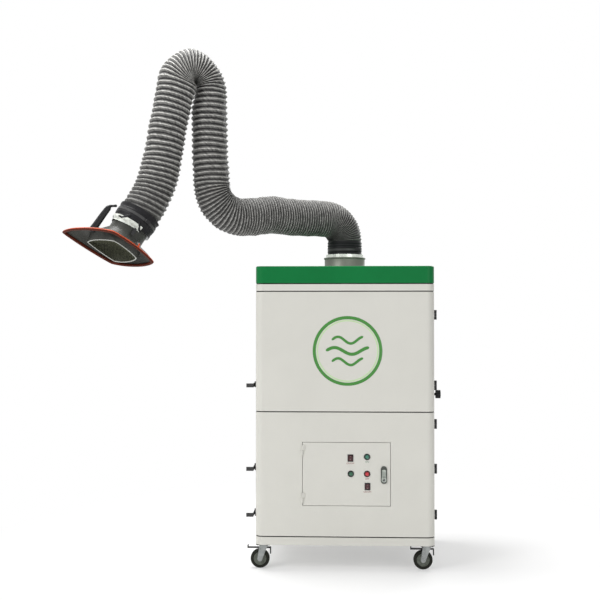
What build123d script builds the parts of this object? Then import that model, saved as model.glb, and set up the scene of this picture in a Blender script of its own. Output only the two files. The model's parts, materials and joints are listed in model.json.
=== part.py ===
from build123d import *
import math
import os

# Mobile welding fume extractor, in millimetres.
# The origin is on the floor under the arm's swivel axis, +Z up, the doors face -Y.

# Cabinet
cabinet_width = 700.0
cabinet_depth = 600.0
corner_radius = 30.0
sheet = 2.0
seam = 4.0
caster_height = 99.0
base_height = 31.0
base_wall = 3.0
lower_door_height = 482.0
upper_door_height = 467.0
strip_height = 26.0
lid_height = 67.0
lid_edge_radius = 5.0
lid_foot_inset = 6.0
door_wrap = 60.0
frame_return = 40.0
overrun = 1.0
loose_fit = 0.3
shaft_fit = 0.06

# Side hinges and latches
hinge_height = 38.0
hinge_leaf = 2.5
hinge_leaf_reach = 24.0
hinge_barrel_radius = 5.0
hinge_pin_radius = 2.2
hinge_gap = 0.5
barrel_split_shares = [1 / 3, 2 / 3]
upper_fitting_shares = [0.807281, 0.211991]
lower_fitting_shares = [0.89834, 0.533195, 0.159751]
latch_picks = [1, 3, 4]
clip_picks = [0, 2]
latch_height = 23.0
latch_pivot_back = 36.0
latch_pivot_out = 7.0
latch_pin_radius = 2.5
latch_barrel_radius = 4.5
latch_plate_length = 40.0
latch_sheet = 2.5
latch_claw_reach = 74.0
latch_tab_out = 26.0
latch_ear = 3.0
keeper_reach = 5.5
keeper_length = 10.0
clip_thickness = 3.0
clip_width = 14.0
clip_height = 40.0
lid_clip_rise = 15.0
lid_clip_back = 90.0

# Airflow knob on the right side
knob_rise = 60.0
knob_back = 120.0
knob_plate_drop = 82.0
knob_plate_width = 44.0
knob_plate_rise = 28.0
knob_stem_radius = 5.0
knob_stem_length = 14.0
knob_radius = 17.0
knob_length = 20.0
knob_flute_radius = 4.0
knob_flutes = 8

# Control door
control_width = 341.0
control_height = 245.0
control_x = 6.0
control_centre_share = 0.503112
control_gap = 1.5
control_sheet = 2.0
control_return = 12.0
control_tray_depth = 90.0
control_barrel_radius = 3.0
control_pin_radius = 1.3
control_hinge_height = 40.0
control_hinge_inset = 30.0
rocker_offsets = [(16.0, 62.5), (82.0, -47.5)]
rocker_size = (16.0, 21.0)
rocker_depth = 7.0
rocker_pin_radius = 1.5
rocker_pin_grip = 1.0
rocker_proud = 4.0
rocker_bow = 1.2
bezel_border = 2.5
bezel_thickness = 2.0
rocker_room = 1.0
rocker_housing_depth = 26.0
housing_wall = 1.5
button_offsets = [(80.5, 67.5), (17.5, 1.5), (80.5, 1.5)]
button_radius = 9.5
button_proud = 5.0
button_depth = 14.0
button_ring_border = 2.6
button_ring_proud = 2.2
button_fit = 0.4
button_housing_depth = 32.0
lock_offset = (146.0, -2.5)
lock_plate_size = (24.0, 69.0)
lock_plate_thickness = 3.0
lock_lever_size = (15.0, 50.0)
lock_lever_thickness = 6.0
lock_boss_radius = 9.5
lock_pivot_drop = 19.0
contactor_size = (45.0, 40.0, 75.0)
contactor_offset = (-76.0, 23.5)
terminal_size = (120.0, 26.0, 24.0)
terminal_drop = 76.5
rail_size = (180.0, 6.0, 35.0)

# Casters
wheel_radius = 37.5
wheel_width = 24.0
hub_radius = 25.0
hub_width = 27.0
tyre_edge = 5.0
axle_radius = 4.0
axle_head_radius = 7.5
axle_head = 3.0
caster_side_inset = 30.0
caster_end_inset = 48.0
caster_trail = 14.0
caster_plate = (58.0, 58.0)
caster_plate_thickness = 4.0
caster_bolt_radius = 4.5
caster_bolt_head = 3.0
caster_bolt_pitch = 42.0
race_radius = 20.0
race_height = 6.4
bridge_thickness = 4.0
bridge_half_length = 16.0
fork_leg = 3.0
fork_gap = 1.6
fork_eye_radius = 10.0
king_pin_radius = 5.0
pedal_thickness = 4.0
pedal_width = 18.0
pedal_short_reach = 50.0
pedal_long_reach = 43.0
pedal_tip_rise = 12.0
pedal_tail_drop = 26.0
pedal_pin_radius = 2.5
pedal_boss_radius = 3.4
pedal_lift = 4.5

# Filter, blower and rear fittings
tube_sheet_hole = 105.0
filter_radius = 160.0
filter_bore = 108.0
filter_headroom = 21.0
filter_cap = 14.0
filter_cap_proud = 4.0
pleats = 48
pleat_depth = 22.0
filter_y = 30.0
tray_side_gap = 50.0
tray_front_gap = 36.0
tray_rear_gap = 30.0
tray_height = 34.0
tray_sheet = 1.5
tray_hole_clearance = 8.0
blower_half_width = 195.0
blower_height = 150.0
blower_inlet = 92.0
blower_outlet = (240.0, 110.0)
impeller_radius = 150.0
impeller_plate = 3.0
impeller_width = 62.0
impeller_eye = 84.0
impeller_lift = 44.0
impeller_blades = 9
blade_thickness = 3.0
blade_angle = 52.0
hub_boss_radius = 22.0
hub_boss_height = 34.0
motor_radius = 78.0
motor_length = 190.0
motor_flange_radius = 100.0
motor_flange = 8.0
motor_shaft_radius = 9.5
motor_shaft_grip = 60.0
motor_fins = 20
motor_fin = (3.0, 10.0)
grille_size = (300.0, 170.0)
grille_border = 18.0
grille_thickness = 2.5
grille_slots = 8
grille_slot_height = 9.0
gland_side_inset = 100.0
gland_rise = 60.0
gland_hex_radius = 15.0
gland_hex_length = 8.0
gland_dome_radius = 11.0
gland_dome_length = 16.0
gland_bore = 5.0

# Arm: an upright plane through the swivel axis, turned this far from the -X side towards -Y
arm_turn = 30.0
collar_radius = 84.0
collar_wall = 6.0
collar_rise = 48.0
collar_drop = 120.0
collar_flange_radius = 104.0
collar_flange = 3.0
collar_lip = 3.0
collar_lip_height = 6.0
swivel_height = 13.0
swivel_radius = 75.0
swivel_skirt_drop = 40.0
swivel_skirt_wall = 4.0
turning_gap = 0.4
hose_crest = 71.0
hose_valley = 67.0
hose_wall = 3.0
hose_end_radius = 67.0
packed_crest = 74.0
flared_crest = 79.0
cuff_length = 55.0
cuff_wall = 2.6
cuff_fit = 0.2
shoulder_rise = 208.0
shoulder_bend = 92.0
knee_reach = 612.0
knee_bend = 118.0
crown_bend = 82.0
crown_rise = 489.0
crown_lean = 6.5
fore_length = 296.0
wrist_bend = 448.0
wrist_lean = 34.0
wrist_run = 80.0
wrist_cuff_start = 25.0
shoulder_ribs = 18
lower_ribs = 35
knee_ribs = 13
middle_ribs = 17
crown_ribs = 15
fore_ribs = 14
wrist_ribs = 10
rib_profile_shares = [(0.0, 0.0), (0.22, 1.0), (0.56, 1.0), (0.8, 0.0)]

# Arm skeleton inside the hose
knuckle_radius = 11.0
tongue_half = 8.0
clevis_gap = 0.5
clevis_plate = 5.0
clevis_reach = 30.0
clevis_root = 15.0
arm_pin_radius = 4.0
link_height = 16.0
link_thickness = 10.0
spider_bar = 12.0

# Hood
band_length = 12.0
band_radius = 79.0
spigot_wall = 2.5
neck_radius = 69.5
neck_length = 38.0
neck_sleeve = 20.0
hood_wall = 3.0
hood_half_length = 176.0
hood_half_width = 112.0
hood_drop = 70.0
hood_shift = 45.0
throat_half_length = 104.0
throat_half_width = 80.0
throat_drop = 25.0
throat_shift = 22.0
hood_face = (-0.280, -0.469, -0.837)
hood_long = (0.948, 0.0, -0.3171)
rim_outward = 8.0
rim_inward = 7.0
rim_depth = 16.0
mesh_cell = 13.0
mesh_bar = 3.0
mesh_thickness = 2.0
mesh_border = 5.0
mesh_fit = 0.45
flap_radius = 56.0
flap_thickness = 2.0
flap_down = 14.0
flap_spindle_radius = 4.0
flap_spindle_proud = 10.0
flap_lever_length = 24.0
flap_lever_width = 12.0
flap_lever_thickness = 4.0
handle_foot_offset = (122.5, 23.5)
handle_top_offset = (60.5, 111.5)
handle_end_offset = (36.5, 114.5)
handle_foot_radius = 9.0
handle_top_radius = 5.0
handle_tip_radius = 4.0

# Levels and places that follow from the sizes above
front = -cabinet_depth / 2
rear = cabinet_depth / 2
side = cabinet_width / 2
base_z = caster_height
body_z = base_z + base_height
lower_door_z = body_z + seam
divider_z = lower_door_z + lower_door_height + seam / 2
upper_door_z = divider_z + seam / 2
strip_z = upper_door_z + upper_door_height + seam
roof_z = strip_z + strip_height
lid_z = roof_z + seam
top_z = lid_z + lid_height
wrap_y = front + door_wrap
hinge_x = side + hinge_leaf + hinge_barrel_radius + hinge_gap
hinge_y = wrap_y + seam / 2
bay_y = wrap_y + seam
fitting_heights = [upper_door_z + upper_door_height * share for share in upper_fitting_shares]
fitting_heights += [lower_door_z + lower_door_height * share for share in lower_fitting_shares]
knob_z = upper_door_z + knob_rise
control_z = lower_door_z + lower_door_height * control_centre_share
rocker_places = [(control_x + x, control_z + z) for x, z in rocker_offsets]
button_places = [(control_x + x, control_z + z) for x, z in button_offsets]
lock_place = (control_x + lock_offset[0], control_z + lock_offset[1])
contactor_x = control_x + contactor_offset[0]
contactor_z = control_z + contactor_offset[1]
terminal_z = control_z - terminal_drop
caster_x = side - caster_side_inset
caster_y = rear - caster_end_inset
filter_height = top_z - collar_drop - filter_headroom - divider_z - sheet / 2 - 2 * filter_cap
gland_x = gland_side_inset - side
gland_z = body_z + gland_rise
shoulder_z = top_z + shoulder_rise
crown_z = shoulder_z + crown_rise

arm_out = Vector(-math.cos(math.radians(arm_turn)), -math.sin(math.radians(arm_turn)), 0)
arm_pin = Vector(-math.sin(math.radians(arm_turn)), math.cos(math.radians(arm_turn)), 0)


def arm_at(reach, height):
    """A place in the arm's plane."""
    return arm_out * reach + Vector(0, 0, height)


def block(x0, x1, y0, y1, z0, z1):
    """A box between two corners."""
    centre = Pos((x0 + x1) / 2, (y0 + y1) / 2, (z0 + z1) / 2)
    return centre * Box(abs(x1 - x0), abs(y1 - y0), abs(z1 - z0))


def rod(start, direction, radius, length):
    """A round bar from a point along a direction."""
    return extrude(Plane(origin=start, z_dir=direction) * Circle(radius), length)


def rounded_slab(inset, low, high):
    """The cabinet's plan shape, drawn in by an inset, between two heights."""
    plan = RectangleRounded(cabinet_width - 2 * inset, cabinet_depth - 2 * inset, corner_radius - inset)
    return Pos(0, 0, low) * extrude(plan, high - low)


def save(name, shape):
    """Write one named piece."""
    export_step(shape, os.path.join("parts", name + ".step"))


def group(shapes):
    """Several separate solids in one node."""
    return Compound(children=[s for shape in shapes for s in shape.solids()])


# Cabinet


def cabinet_shell():
    bend_y = rear - corner_radius
    ring = rounded_slab(0, body_z, roof_z) - rounded_slab(sheet, body_z - overrun, roof_z + overrun)
    walls = ring & block(-side, side, bay_y, bend_y, body_z, roof_z)
    knob_start = (side - 2 * sheet, front + knob_back, knob_z)
    walls -= rod(knob_start, (1, 0, 0), knob_stem_radius + shaft_fit, 4 * sheet)
    back = ring & block(-side, side, bend_y, rear, body_z, roof_z)
    back -= block(-blower_outlet[0] / 2, blower_outlet[0] / 2, rear - 2 * sheet, rear + overrun,
                  outlet_low(), outlet_low() + blower_outlet[1])
    back -= rod((gland_x, rear - 2 * sheet, gland_z), (0, 1, 0), gland_bore + sheet, 4 * sheet)
    strip = block(-side, side, front, bay_y, strip_z, strip_z + sheet) & rounded_slab(0, strip_z, roof_z)
    strip += ring & block(-side, side, front, bay_y, strip_z, roof_z)
    floor = rounded_slab(sheet, body_z, body_z + sheet) & block(-side, side, bay_y, rear, body_z, roof_z)
    roof = rounded_slab(sheet, roof_z - sheet, roof_z) - Pos(0, 0, roof_z) * Cylinder(collar_radius + loose_fit,
                                                                                      4 * sheet)
    portal = block(-side + sheet, side - sheet, bay_y, bay_y + sheet, body_z + sheet, roof_z - sheet)
    portal -= block(-side + frame_return, side - frame_return, bay_y - overrun, bay_y + sheet + overrun,
                    body_z + frame_return / 2, divider_z - frame_return / 2)
    portal -= block(-side + frame_return, side - frame_return, bay_y - overrun, bay_y + sheet + overrun,
                    divider_z + frame_return / 2, strip_z - frame_return / 2)
    tube_sheet = block(-side + sheet, side - sheet, bay_y + sheet, rear - sheet, divider_z - sheet / 2,
                       divider_z + sheet / 2)
    tube_sheet = tube_sheet & rounded_slab(sheet, divider_z - sheet, divider_z + sheet)
    tube_sheet -= Pos(0, filter_y, divider_z) * Cylinder(tube_sheet_hole, 4 * sheet)
    return group([walls, back, strip, floor, roof, portal, tube_sheet])


def outlet_low():
    """The blower outlet's lower edge."""
    return divider_z - sheet / 2 - blower_height + 2 * sheet


def lid_cover():
    cap = rounded_slab(0, lid_z, top_z)
    cap = fillet(cap.faces().sort_by(Axis.Z)[-1].edges(), lid_edge_radius)
    cap -= rounded_slab(sheet, lid_z + sheet, top_z - sheet)
    cap -= rounded_slab(lid_foot_inset + sheet, lid_z - overrun, lid_z + 2 * sheet)
    foot = rounded_slab(lid_foot_inset, roof_z, lid_z + sheet)
    foot -= rounded_slab(lid_foot_inset + sheet, roof_z - overrun, lid_z + 2 * sheet)
    lid = cap + foot
    return lid - Pos(0, 0, top_z) * Cylinder(collar_radius + loose_fit, 4 * sheet)


def base_frame():
    pan = rounded_slab(0, base_z, body_z)
    return pan - rounded_slab(base_wall, base_z + base_wall, body_z + overrun)


def door_pan(low, high):
    """A sheet door that wraps round both front corners, open at the back."""
    whole = rounded_slab(0, low, high)
    whole = whole & block(-side, side, front, wrap_y, low, high)
    hollow = rounded_slab(sheet, low + sheet, high - sheet)
    hollow = hollow & block(-side, side, front, wrap_y + overrun, low, high)
    return whole - hollow


def upper_door():
    return door_pan(upper_door_z, upper_door_z + upper_door_height)


def control_bounds(grow):
    """The control door's outline on the front, grown by an amount: left, right, low, high."""
    half_width = control_width / 2 + grow
    half_height = control_height / 2 + grow
    return (control_x - half_width, control_x + half_width, control_z - half_height, control_z + half_height)


def lower_door():
    door = door_pan(lower_door_z, lower_door_z + lower_door_height)
    left, right, low, high = control_bounds(control_gap)
    back = front + control_tray_depth
    door += block(left - sheet, right + sheet, front + sheet, back, low - sheet, high + sheet)
    return door - block(left, right, front - overrun, back - sheet, low, high)


def hinge_barrel(z, low_share, high_share, radius):
    """A length of one side hinge's barrel."""
    low = z - hinge_height / 2 + hinge_height * low_share
    return Pos(hinge_x, hinge_y, low) * extrude(Circle(radius), hinge_height * (high_share - low_share))


def fixed_hinge(z):
    """Cabinet-side leaf with the outer barrels and the pin."""
    first, last = barrel_split_shares
    leaf = block(side, side + hinge_leaf, hinge_y + seam / 2, hinge_y + hinge_leaf_reach,
                 z - hinge_height / 2, z + hinge_height / 2)
    web = block(side, hinge_x, hinge_y + seam / 2, hinge_y + hinge_barrel_radius,
                z - hinge_height / 2, z + hinge_height / 2)
    web -= hinge_gap_cut(z)
    barrels = hinge_barrel(z, 0, first, hinge_barrel_radius) + hinge_barrel(z, last, 1, hinge_barrel_radius)
    pin = hinge_barrel(z, 0, 1, hinge_pin_radius)
    return leaf + web + barrels + pin


def hinge_gap_cut(z):
    """The room that the moving barrel turns in."""
    first, last = barrel_split_shares
    room = Pos(hinge_x, hinge_y, z) * Cylinder(2 * hinge_barrel_radius, hinge_height * (last - first))
    return room


def moving_hinge(z):
    """Door-side leaf with the middle barrel."""
    first, last = barrel_split_shares
    half = hinge_height * (last - first) / 2 - hinge_gap
    leaf = block(side, side + hinge_leaf, hinge_y - hinge_leaf_reach, hinge_y - seam / 2, z - half, z + half)
    web = block(side, hinge_x, hinge_y - hinge_barrel_radius, hinge_y - seam / 2, z - half, z + half)
    barrel = Pos(hinge_x, hinge_y, z) * Cylinder(hinge_barrel_radius, 2 * half)
    hole = Pos(hinge_x, hinge_y, z) * Cylinder(hinge_pin_radius + shaft_fit, hinge_height)
    return leaf + web + barrel - hole


def latch_pivot():
    """Latch pin centre on the left side, in plan."""
    return (-side - latch_pivot_out, bay_y + latch_pivot_back)


def latch_base(z):
    """Latch plate on the cabinet's left side, with two ears and the pin."""
    px, py = latch_pivot()
    half = latch_height / 2
    plate_end = py + latch_plate_length / 2
    plate = block(-side - latch_sheet, -side, bay_y + overrun, plate_end, z - half, z + half)
    ears = []
    for low in (z - half, z + half - latch_ear):
        ear = Pos(px, py, low) * extrude(Circle(latch_barrel_radius), latch_ear)
        ear += block(px, -side, py - latch_barrel_radius, py + latch_barrel_radius, low, low + latch_ear)
        ears.append(ear)
    pin = Pos(px, py, z) * Cylinder(latch_pin_radius, latch_height)
    return plate + ears[0] + ears[1] + pin


def latch_lever(z):
    """Swinging latch lever with a claw over the keeper and a finger tab."""
    px, py = latch_pivot()
    half = latch_height / 2 - latch_ear - hinge_gap
    claw_y = py - latch_claw_reach
    out = px - latch_barrel_radius
    barrel = Pos(px, py, z) * Cylinder(latch_barrel_radius, 2 * half)
    arm = block(out, out + latch_sheet, claw_y, py, z - half, z + half)
    tab = block(out - latch_tab_out, out + latch_sheet, claw_y - latch_sheet, claw_y, z - half, z + half)
    lever = barrel + arm + tab
    return lever - Pos(px, py, z) * Cylinder(latch_pin_radius + shaft_fit, latch_height)


def keeper(z):
    """Catch on the door's wrap, under the latch lever."""
    half = latch_height / 2 - latch_ear
    low_y = wrap_y - keeper_length - seam
    return block(-side - keeper_reach, -side, low_y, low_y + keeper_length, z - half, z + half)


def side_fittings():
    pieces = [fixed_hinge(z) for z in fitting_heights]
    pieces += [latch_base(fitting_heights[i]) for i in latch_picks]
    for i in clip_picks:
        z = fitting_heights[i]
        pieces.append(block(-side - clip_thickness, -side, bay_y + overrun, bay_y + clip_width,
                            z - clip_height / 2, z + clip_height / 2))
    for sign in (-1, 1):
        pieces.append(block(sign * side, sign * (side + clip_thickness), front + lid_clip_back,
                            front + lid_clip_back + clip_width, strip_z + overrun, roof_z + lid_clip_rise))
    y = front + knob_back
    plate = block(side, side + sheet, y - knob_plate_width / 2, y + knob_plate_width / 2,
                  knob_z - knob_plate_drop, knob_z + knob_plate_rise)
    plate -= rod((side - overrun, y, knob_z), (1, 0, 0), knob_stem_radius + shaft_fit, 4 * sheet)
    pieces.append(plate)
    return group(pieces)


def upper_door_fittings():
    picks = [z for z in fitting_heights if z > divider_z]
    keepers = [fitting_heights[i] for i in latch_picks if fitting_heights[i] > divider_z]
    return group([moving_hinge(z) for z in picks] + [keeper(z) for z in keepers])


def lower_door_fittings():
    picks = [z for z in fitting_heights if z < divider_z]
    keepers = [fitting_heights[i] for i in latch_picks if fitting_heights[i] < divider_z]
    pieces = [moving_hinge(z) for z in picks] + [keeper(z) for z in keepers]
    for z in control_hinge_heights():
        pieces.append(control_fixed_hinge(z))
    return group(pieces)


def airflow_knob():
    start = side + sheet + loose_fit
    y = front + knob_back
    stem = rod((side - 3 * sheet, y, knob_z), (1, 0, 0), knob_stem_radius, knob_stem_length + 5 * sheet)
    knob = rod((start + knob_stem_length - 2 * sheet, y, knob_z), (1, 0, 0), knob_radius, knob_length)
    for i in range(knob_flutes):
        turn = 2 * math.pi * i / knob_flutes
        centre = (start, y + knob_radius * math.cos(turn), knob_z + knob_radius * math.sin(turn))
        knob -= rod(centre, (1, 0, 0), knob_flute_radius, knob_length + knob_stem_length)
    return stem + knob


# Control door


def control_hinge_heights():
    left, right, low, high = control_bounds(0)
    return [low + control_hinge_inset, high - control_hinge_inset]


def control_hinge_axis():
    left, right, low, high = control_bounds(0)
    return (left - control_gap / 2, front - control_barrel_radius - loose_fit)


def control_fixed_hinge(z):
    """Fixed knuckle of the control door, with its pin and a small leaf on the lower door."""
    x, y = control_hinge_axis()
    length = control_hinge_height / 2 - hinge_gap
    knuckle = Pos(x, y, z - control_hinge_height / 2) * extrude(Circle(control_barrel_radius), length)
    knuckle -= block(x, x + 2 * control_barrel_radius, front - loose_fit, rear, z - control_hinge_height,
                     z + control_hinge_height)
    leaf = block(x - 3 * control_barrel_radius, x, y - overrun / 2, front, z - control_hinge_height / 2,
                 z - control_hinge_height / 2 + length)
    pin = Pos(x, y, z) * Cylinder(control_pin_radius, control_hinge_height)
    room = block(x - 4 * control_barrel_radius, x + 4 * control_barrel_radius, front, rear,
                 z - control_hinge_height, z + control_hinge_height)
    return (knuckle + leaf + pin) - room


def control_door():
    left, right, low, high = control_bounds(0)
    pan = block(left, right, front, front + control_return, low, high)
    pan -= block(left + control_sheet, right - control_sheet, front + control_sheet,
                 front + control_return + overrun, low + control_sheet, high - control_sheet)
    for x, z in rocker_places:
        half_x, half_z = rocker_opening()
        pan -= block(x - half_x - housing_wall, x + half_x + housing_wall, front - overrun,
                     front + 2 * control_sheet, z - half_z - housing_wall, z + half_z + housing_wall)
    for x, z in button_places:
        hole_radius = button_radius + button_fit + housing_wall
        pan -= rod((x, front - overrun, z), (0, 1, 0), hole_radius, 4 * control_sheet)
    x, y = control_hinge_axis()
    for z in control_hinge_heights():
        start = z + hinge_gap
        end = z + control_hinge_height / 2
        knuckle = Pos(x, y, start) * extrude(Circle(control_barrel_radius), end - start)
        knuckle -= block(x - 2 * control_barrel_radius, x, front - loose_fit, rear, start - overrun, end + overrun)
        leaf = block(x, x + 3 * control_barrel_radius, y - overrun / 2, front, start, end)
        room = block(x - 2 * control_barrel_radius, left, front, rear, start - overrun, end + overrun)
        pan += knuckle + leaf - room
        pan -= Pos(x, y, z) * Cylinder(control_pin_radius + shaft_fit, control_hinge_height + overrun)
    return pan


def rocker_opening():
    """Half width and half height of the room that a rocker swings in."""
    return (rocker_size[0] / 2 + rocker_room / 2, rocker_size[1] / 2 + rocker_room)


def switch_bezels():
    pieces = []
    for x, z in rocker_places:
        half_x, half_z = rocker_opening()
        rim = block(x - half_x - bezel_border, x + half_x + bezel_border, front - bezel_thickness, front,
                    z - half_z - bezel_border, z + half_z + bezel_border)
        can = block(x - half_x - housing_wall, x + half_x + housing_wall, front, front + rocker_housing_depth,
                    z - half_z - housing_wall, z + half_z + housing_wall)
        room = block(x - half_x, x + half_x, front - 2 * bezel_thickness,
                     front + rocker_housing_depth - housing_wall, z - half_z, z + half_z)
        pin_start = x - half_x - rocker_pin_grip
        pin_room = rod((pin_start, front, z), (1, 0, 0), rocker_pin_radius + shaft_fit, 2 * (x - pin_start))
        pieces.append(rim + can - room - pin_room)
    for x, z in button_places:
        bore = button_radius + button_fit
        ring = rod((x, front - button_ring_proud, z), (0, 1, 0), bore + button_ring_border, button_ring_proud)
        can = rod((x, front, z), (0, 1, 0), bore + housing_wall, button_housing_depth)
        room = rod((x, front - 2 * button_ring_proud, z), (0, 1, 0), bore,
                   button_housing_depth + 2 * button_ring_proud - housing_wall)
        pieces.append(ring + can - room)
    x, z = lock_place
    lock_plane = Plane(origin=(x, front, z), x_dir=(0, 0, 1), z_dir=(0, -1, 0))
    lock_slot = SlotOverall(lock_plate_size[1], lock_plate_size[0])
    pieces.append(extrude(lock_plane * lock_slot, lock_plate_thickness))
    return group(pieces)


def rocker(place):
    x, z = place
    half_x, half_z = rocker_size[0] / 2, rocker_size[1] / 2
    body = block(x - half_x, x + half_x, front - rocker_proud, front + rocker_depth, z - half_z, z + half_z)
    hollow_radius = (half_z * half_z + rocker_bow * rocker_bow) / (2 * rocker_bow)
    dish = rod((x - half_x - overrun, front - rocker_proud - hollow_radius + rocker_bow, z), (1, 0, 0),
               hollow_radius, rocker_size[0] + 2 * overrun)
    pin_start = x - rocker_opening()[0] - rocker_pin_grip + loose_fit
    return body - dish + rod((pin_start, front, z), (1, 0, 0), rocker_pin_radius, 2 * (x - pin_start))


def push_button(place):
    x, z = place
    cap = rod((x, front - button_proud, z), (0, 1, 0), button_radius, button_proud + button_depth)
    return fillet(cap.faces().sort_by(Axis.Y)[0].edges(), overrun)


def control_lock():
    x, z = lock_place
    y = front - lock_plate_thickness - loose_fit
    pivot_z = z - lock_pivot_drop
    boss = rod((x, y, pivot_z), (0, -1, 0), lock_boss_radius, lock_lever_thickness)
    bar = block(x - lock_lever_size[0] / 2, x + lock_lever_size[0] / 2, y - lock_lever_thickness, y,
                pivot_z, pivot_z + lock_lever_size[1] - lock_boss_radius)
    return boss + bar


def contactor():
    back = front + control_tray_depth - sheet
    rail_front = back - rail_size[1]
    pieces = []
    for z in (contactor_z, terminal_z):
        pieces.append(block(control_x - rail_size[0] / 2, control_x + rail_size[0] / 2, rail_front, back,
                            z - rail_size[2] / 2, z + rail_size[2] / 2))
    pieces.append(block(contactor_x, contactor_x + contactor_size[0],
                        rail_front - contactor_size[1], rail_front,
                        contactor_z - contactor_size[2] / 2, contactor_z + contactor_size[2] / 2))
    pieces.append(block(control_x - terminal_size[0] / 2, control_x + terminal_size[0] / 2,
                        rail_front - terminal_size[1], rail_front, terminal_z - terminal_size[2] / 2,
                        terminal_z + terminal_size[2] / 2))
    return group(pieces)


# Casters


def caster_places():
    return {
        "front_left": (-caster_x, -caster_y),
        "front_right": (caster_x, -caster_y),
        "rear_left": (-caster_x, caster_y),
        "rear_right": (caster_x, caster_y),
    }


def caster_plates():
    pieces = []
    low = base_z - caster_plate_thickness
    for x, y in caster_places().values():
        plate = block(x - caster_plate[0] / 2, x + caster_plate[0] / 2, y - caster_plate[1] / 2,
                      y + caster_plate[1] / 2, low, base_z)
        plate -= Pos(x, y, low) * Cylinder(king_pin_radius + shaft_fit, 4 * caster_plate_thickness)
        pieces.append(plate)
        for sx in (-1, 1):
            for sy in (-1, 1):
                at = Pos(x + sx * caster_bolt_pitch / 2, y + sy * caster_bolt_pitch / 2, low)
                pieces.append(at * extrude(RegularPolygon(caster_bolt_radius, 6), -caster_bolt_head))
    return group(pieces)


def caster_fork(place):
    x, y = place
    wheel_x = x - caster_trail
    race_top = base_z - caster_plate_thickness - loose_fit
    bridge_top = race_top - race_height
    bridge_low = bridge_top - bridge_thickness
    inner = hub_width / 2 + fork_gap
    outer = inner + fork_leg
    race = Pos(x, y, bridge_top) * extrude(Circle(race_radius), race_height)
    king = Pos(x, y, race_top) * extrude(Circle(king_pin_radius), caster_plate_thickness)
    left, right = x - bridge_half_length, x + bridge_half_length
    fork = race + king + block(left, right, y - outer, y + outer, bridge_low, bridge_top)
    leg = make_face(Polyline((left, bridge_top), (right, bridge_top), (wheel_x + fork_eye_radius, wheel_radius),
                             (wheel_x - fork_eye_radius, wheel_radius), close=True))
    for low_y in (y - outer, y + inner):
        plane = Plane(origin=(0, low_y + fork_leg, 0), x_dir=(1, 0, 0), z_dir=(0, -1, 0))
        plate = extrude(plane * leg, fork_leg)
        eye = rod((wheel_x, low_y, wheel_radius), (0, 1, 0), fork_eye_radius, fork_leg)
        ear = rod((wheel_x, low_y, pedal_z()), (0, 1, 0), pedal_boss_radius, fork_leg)
        fork += plate + eye + ear
    axle = rod((wheel_x, y - outer, wheel_radius), (0, 1, 0), axle_radius, 2 * outer)
    head = rod((wheel_x, y - outer - axle_head, wheel_radius), (0, 1, 0), axle_head_radius, axle_head)
    nut = rod((wheel_x, y + outer, wheel_radius), (0, 1, 0), axle_head_radius, axle_head)
    pin = rod((wheel_x, y - outer, pedal_z()), (0, 1, 0), pedal_pin_radius, 2 * outer)
    return fork + axle + head + nut + pin


def pedal_z():
    """Height of the brake lever's pin, between the tyre and the fork's bridge."""
    return 2 * wheel_radius + pedal_lift


def caster_wheel(place):
    x, y = place
    wheel_x = x - caster_trail
    plane = Plane(origin=(wheel_x, y, wheel_radius), x_dir=(1, 0, 0), z_dir=(0, 1, 0))
    tyre = extrude(plane * Circle(wheel_radius), wheel_width / 2, both=True)
    tyre = fillet(tyre.edges().filter_by(GeomType.CIRCLE), tyre_edge)
    tyre -= extrude(plane * Circle(hub_radius), wheel_width, both=True)
    hub = extrude(plane * Circle(hub_radius), wheel_width / 2, both=True)
    hub += extrude(plane * Circle(hub_radius / 2), hub_width / 2, both=True)
    hub -= extrude(plane * Circle(axle_radius + shaft_fit), hub_width, both=True)
    return group([tyre, hub])


def brake_pedal(place):
    x, y = place
    wheel_x = x - caster_trail
    half = pedal_width / 2
    low, high = pedal_z() - pedal_thickness / 2, pedal_z() + pedal_thickness / 2
    bar = block(wheel_x - pedal_short_reach, wheel_x + pedal_long_reach, y - half, y + half, low, high)
    near, far = wheel_x - pedal_short_reach, wheel_x + pedal_long_reach
    tip = block(near, near + pedal_thickness, y - half, y + half, low, low + pedal_tip_rise)
    tail = block(far - pedal_thickness, far, y - half, y + half, high - pedal_tail_drop, high)
    boss = rod((wheel_x, y - half, pedal_z()), (0, 1, 0), pedal_boss_radius, pedal_width)
    hole = rod((wheel_x, y - pedal_width, pedal_z()), (0, 1, 0), pedal_pin_radius + shaft_fit, 2 * pedal_width)
    return bar + tip + tail + boss - hole


# Filter, blower and rear fittings


def filter_cartridge():
    low = divider_z + sheet / 2
    points = []
    for i in range(2 * pleats):
        radius = filter_radius - (pleat_depth if i % 2 else 0)
        turn = math.pi * i / pleats
        points.append((radius * math.cos(turn), radius * math.sin(turn)))
    media = extrude(make_face(Polyline(*points, close=True)) - Circle(filter_bore), filter_height)
    ring = extrude(Circle(filter_radius + filter_cap_proud) - Circle(filter_bore), filter_cap)
    lid = extrude(Circle(filter_radius + filter_cap_proud), filter_cap)
    at = Pos(0, filter_y, low)
    lifted = Pos(0, filter_y, low + filter_cap)
    topped = Pos(0, filter_y, low + filter_cap + filter_height)
    return group([at * ring, lifted * media, topped * lid])


def dust_tray():
    low = divider_z + sheet / 2
    half_width = side - tray_side_gap
    near_y, far_y = bay_y + tray_front_gap, rear - tray_rear_gap
    pan = block(-half_width, half_width, near_y, far_y, low, low + tray_height)
    pan -= block(-half_width + tray_sheet, half_width - tray_sheet, near_y + tray_sheet, far_y - tray_sheet,
                 low + tray_sheet, low + tray_height + overrun)
    hole = filter_radius + filter_cap_proud + tray_hole_clearance
    sleeve = Pos(0, filter_y, low) * extrude(Circle(hole + tray_sheet), tray_height)
    return pan + sleeve - Pos(0, filter_y, low) * Cylinder(hole, 4 * tray_height)


def blower_low():
    return divider_z - sheet / 2 - blower_height


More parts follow.
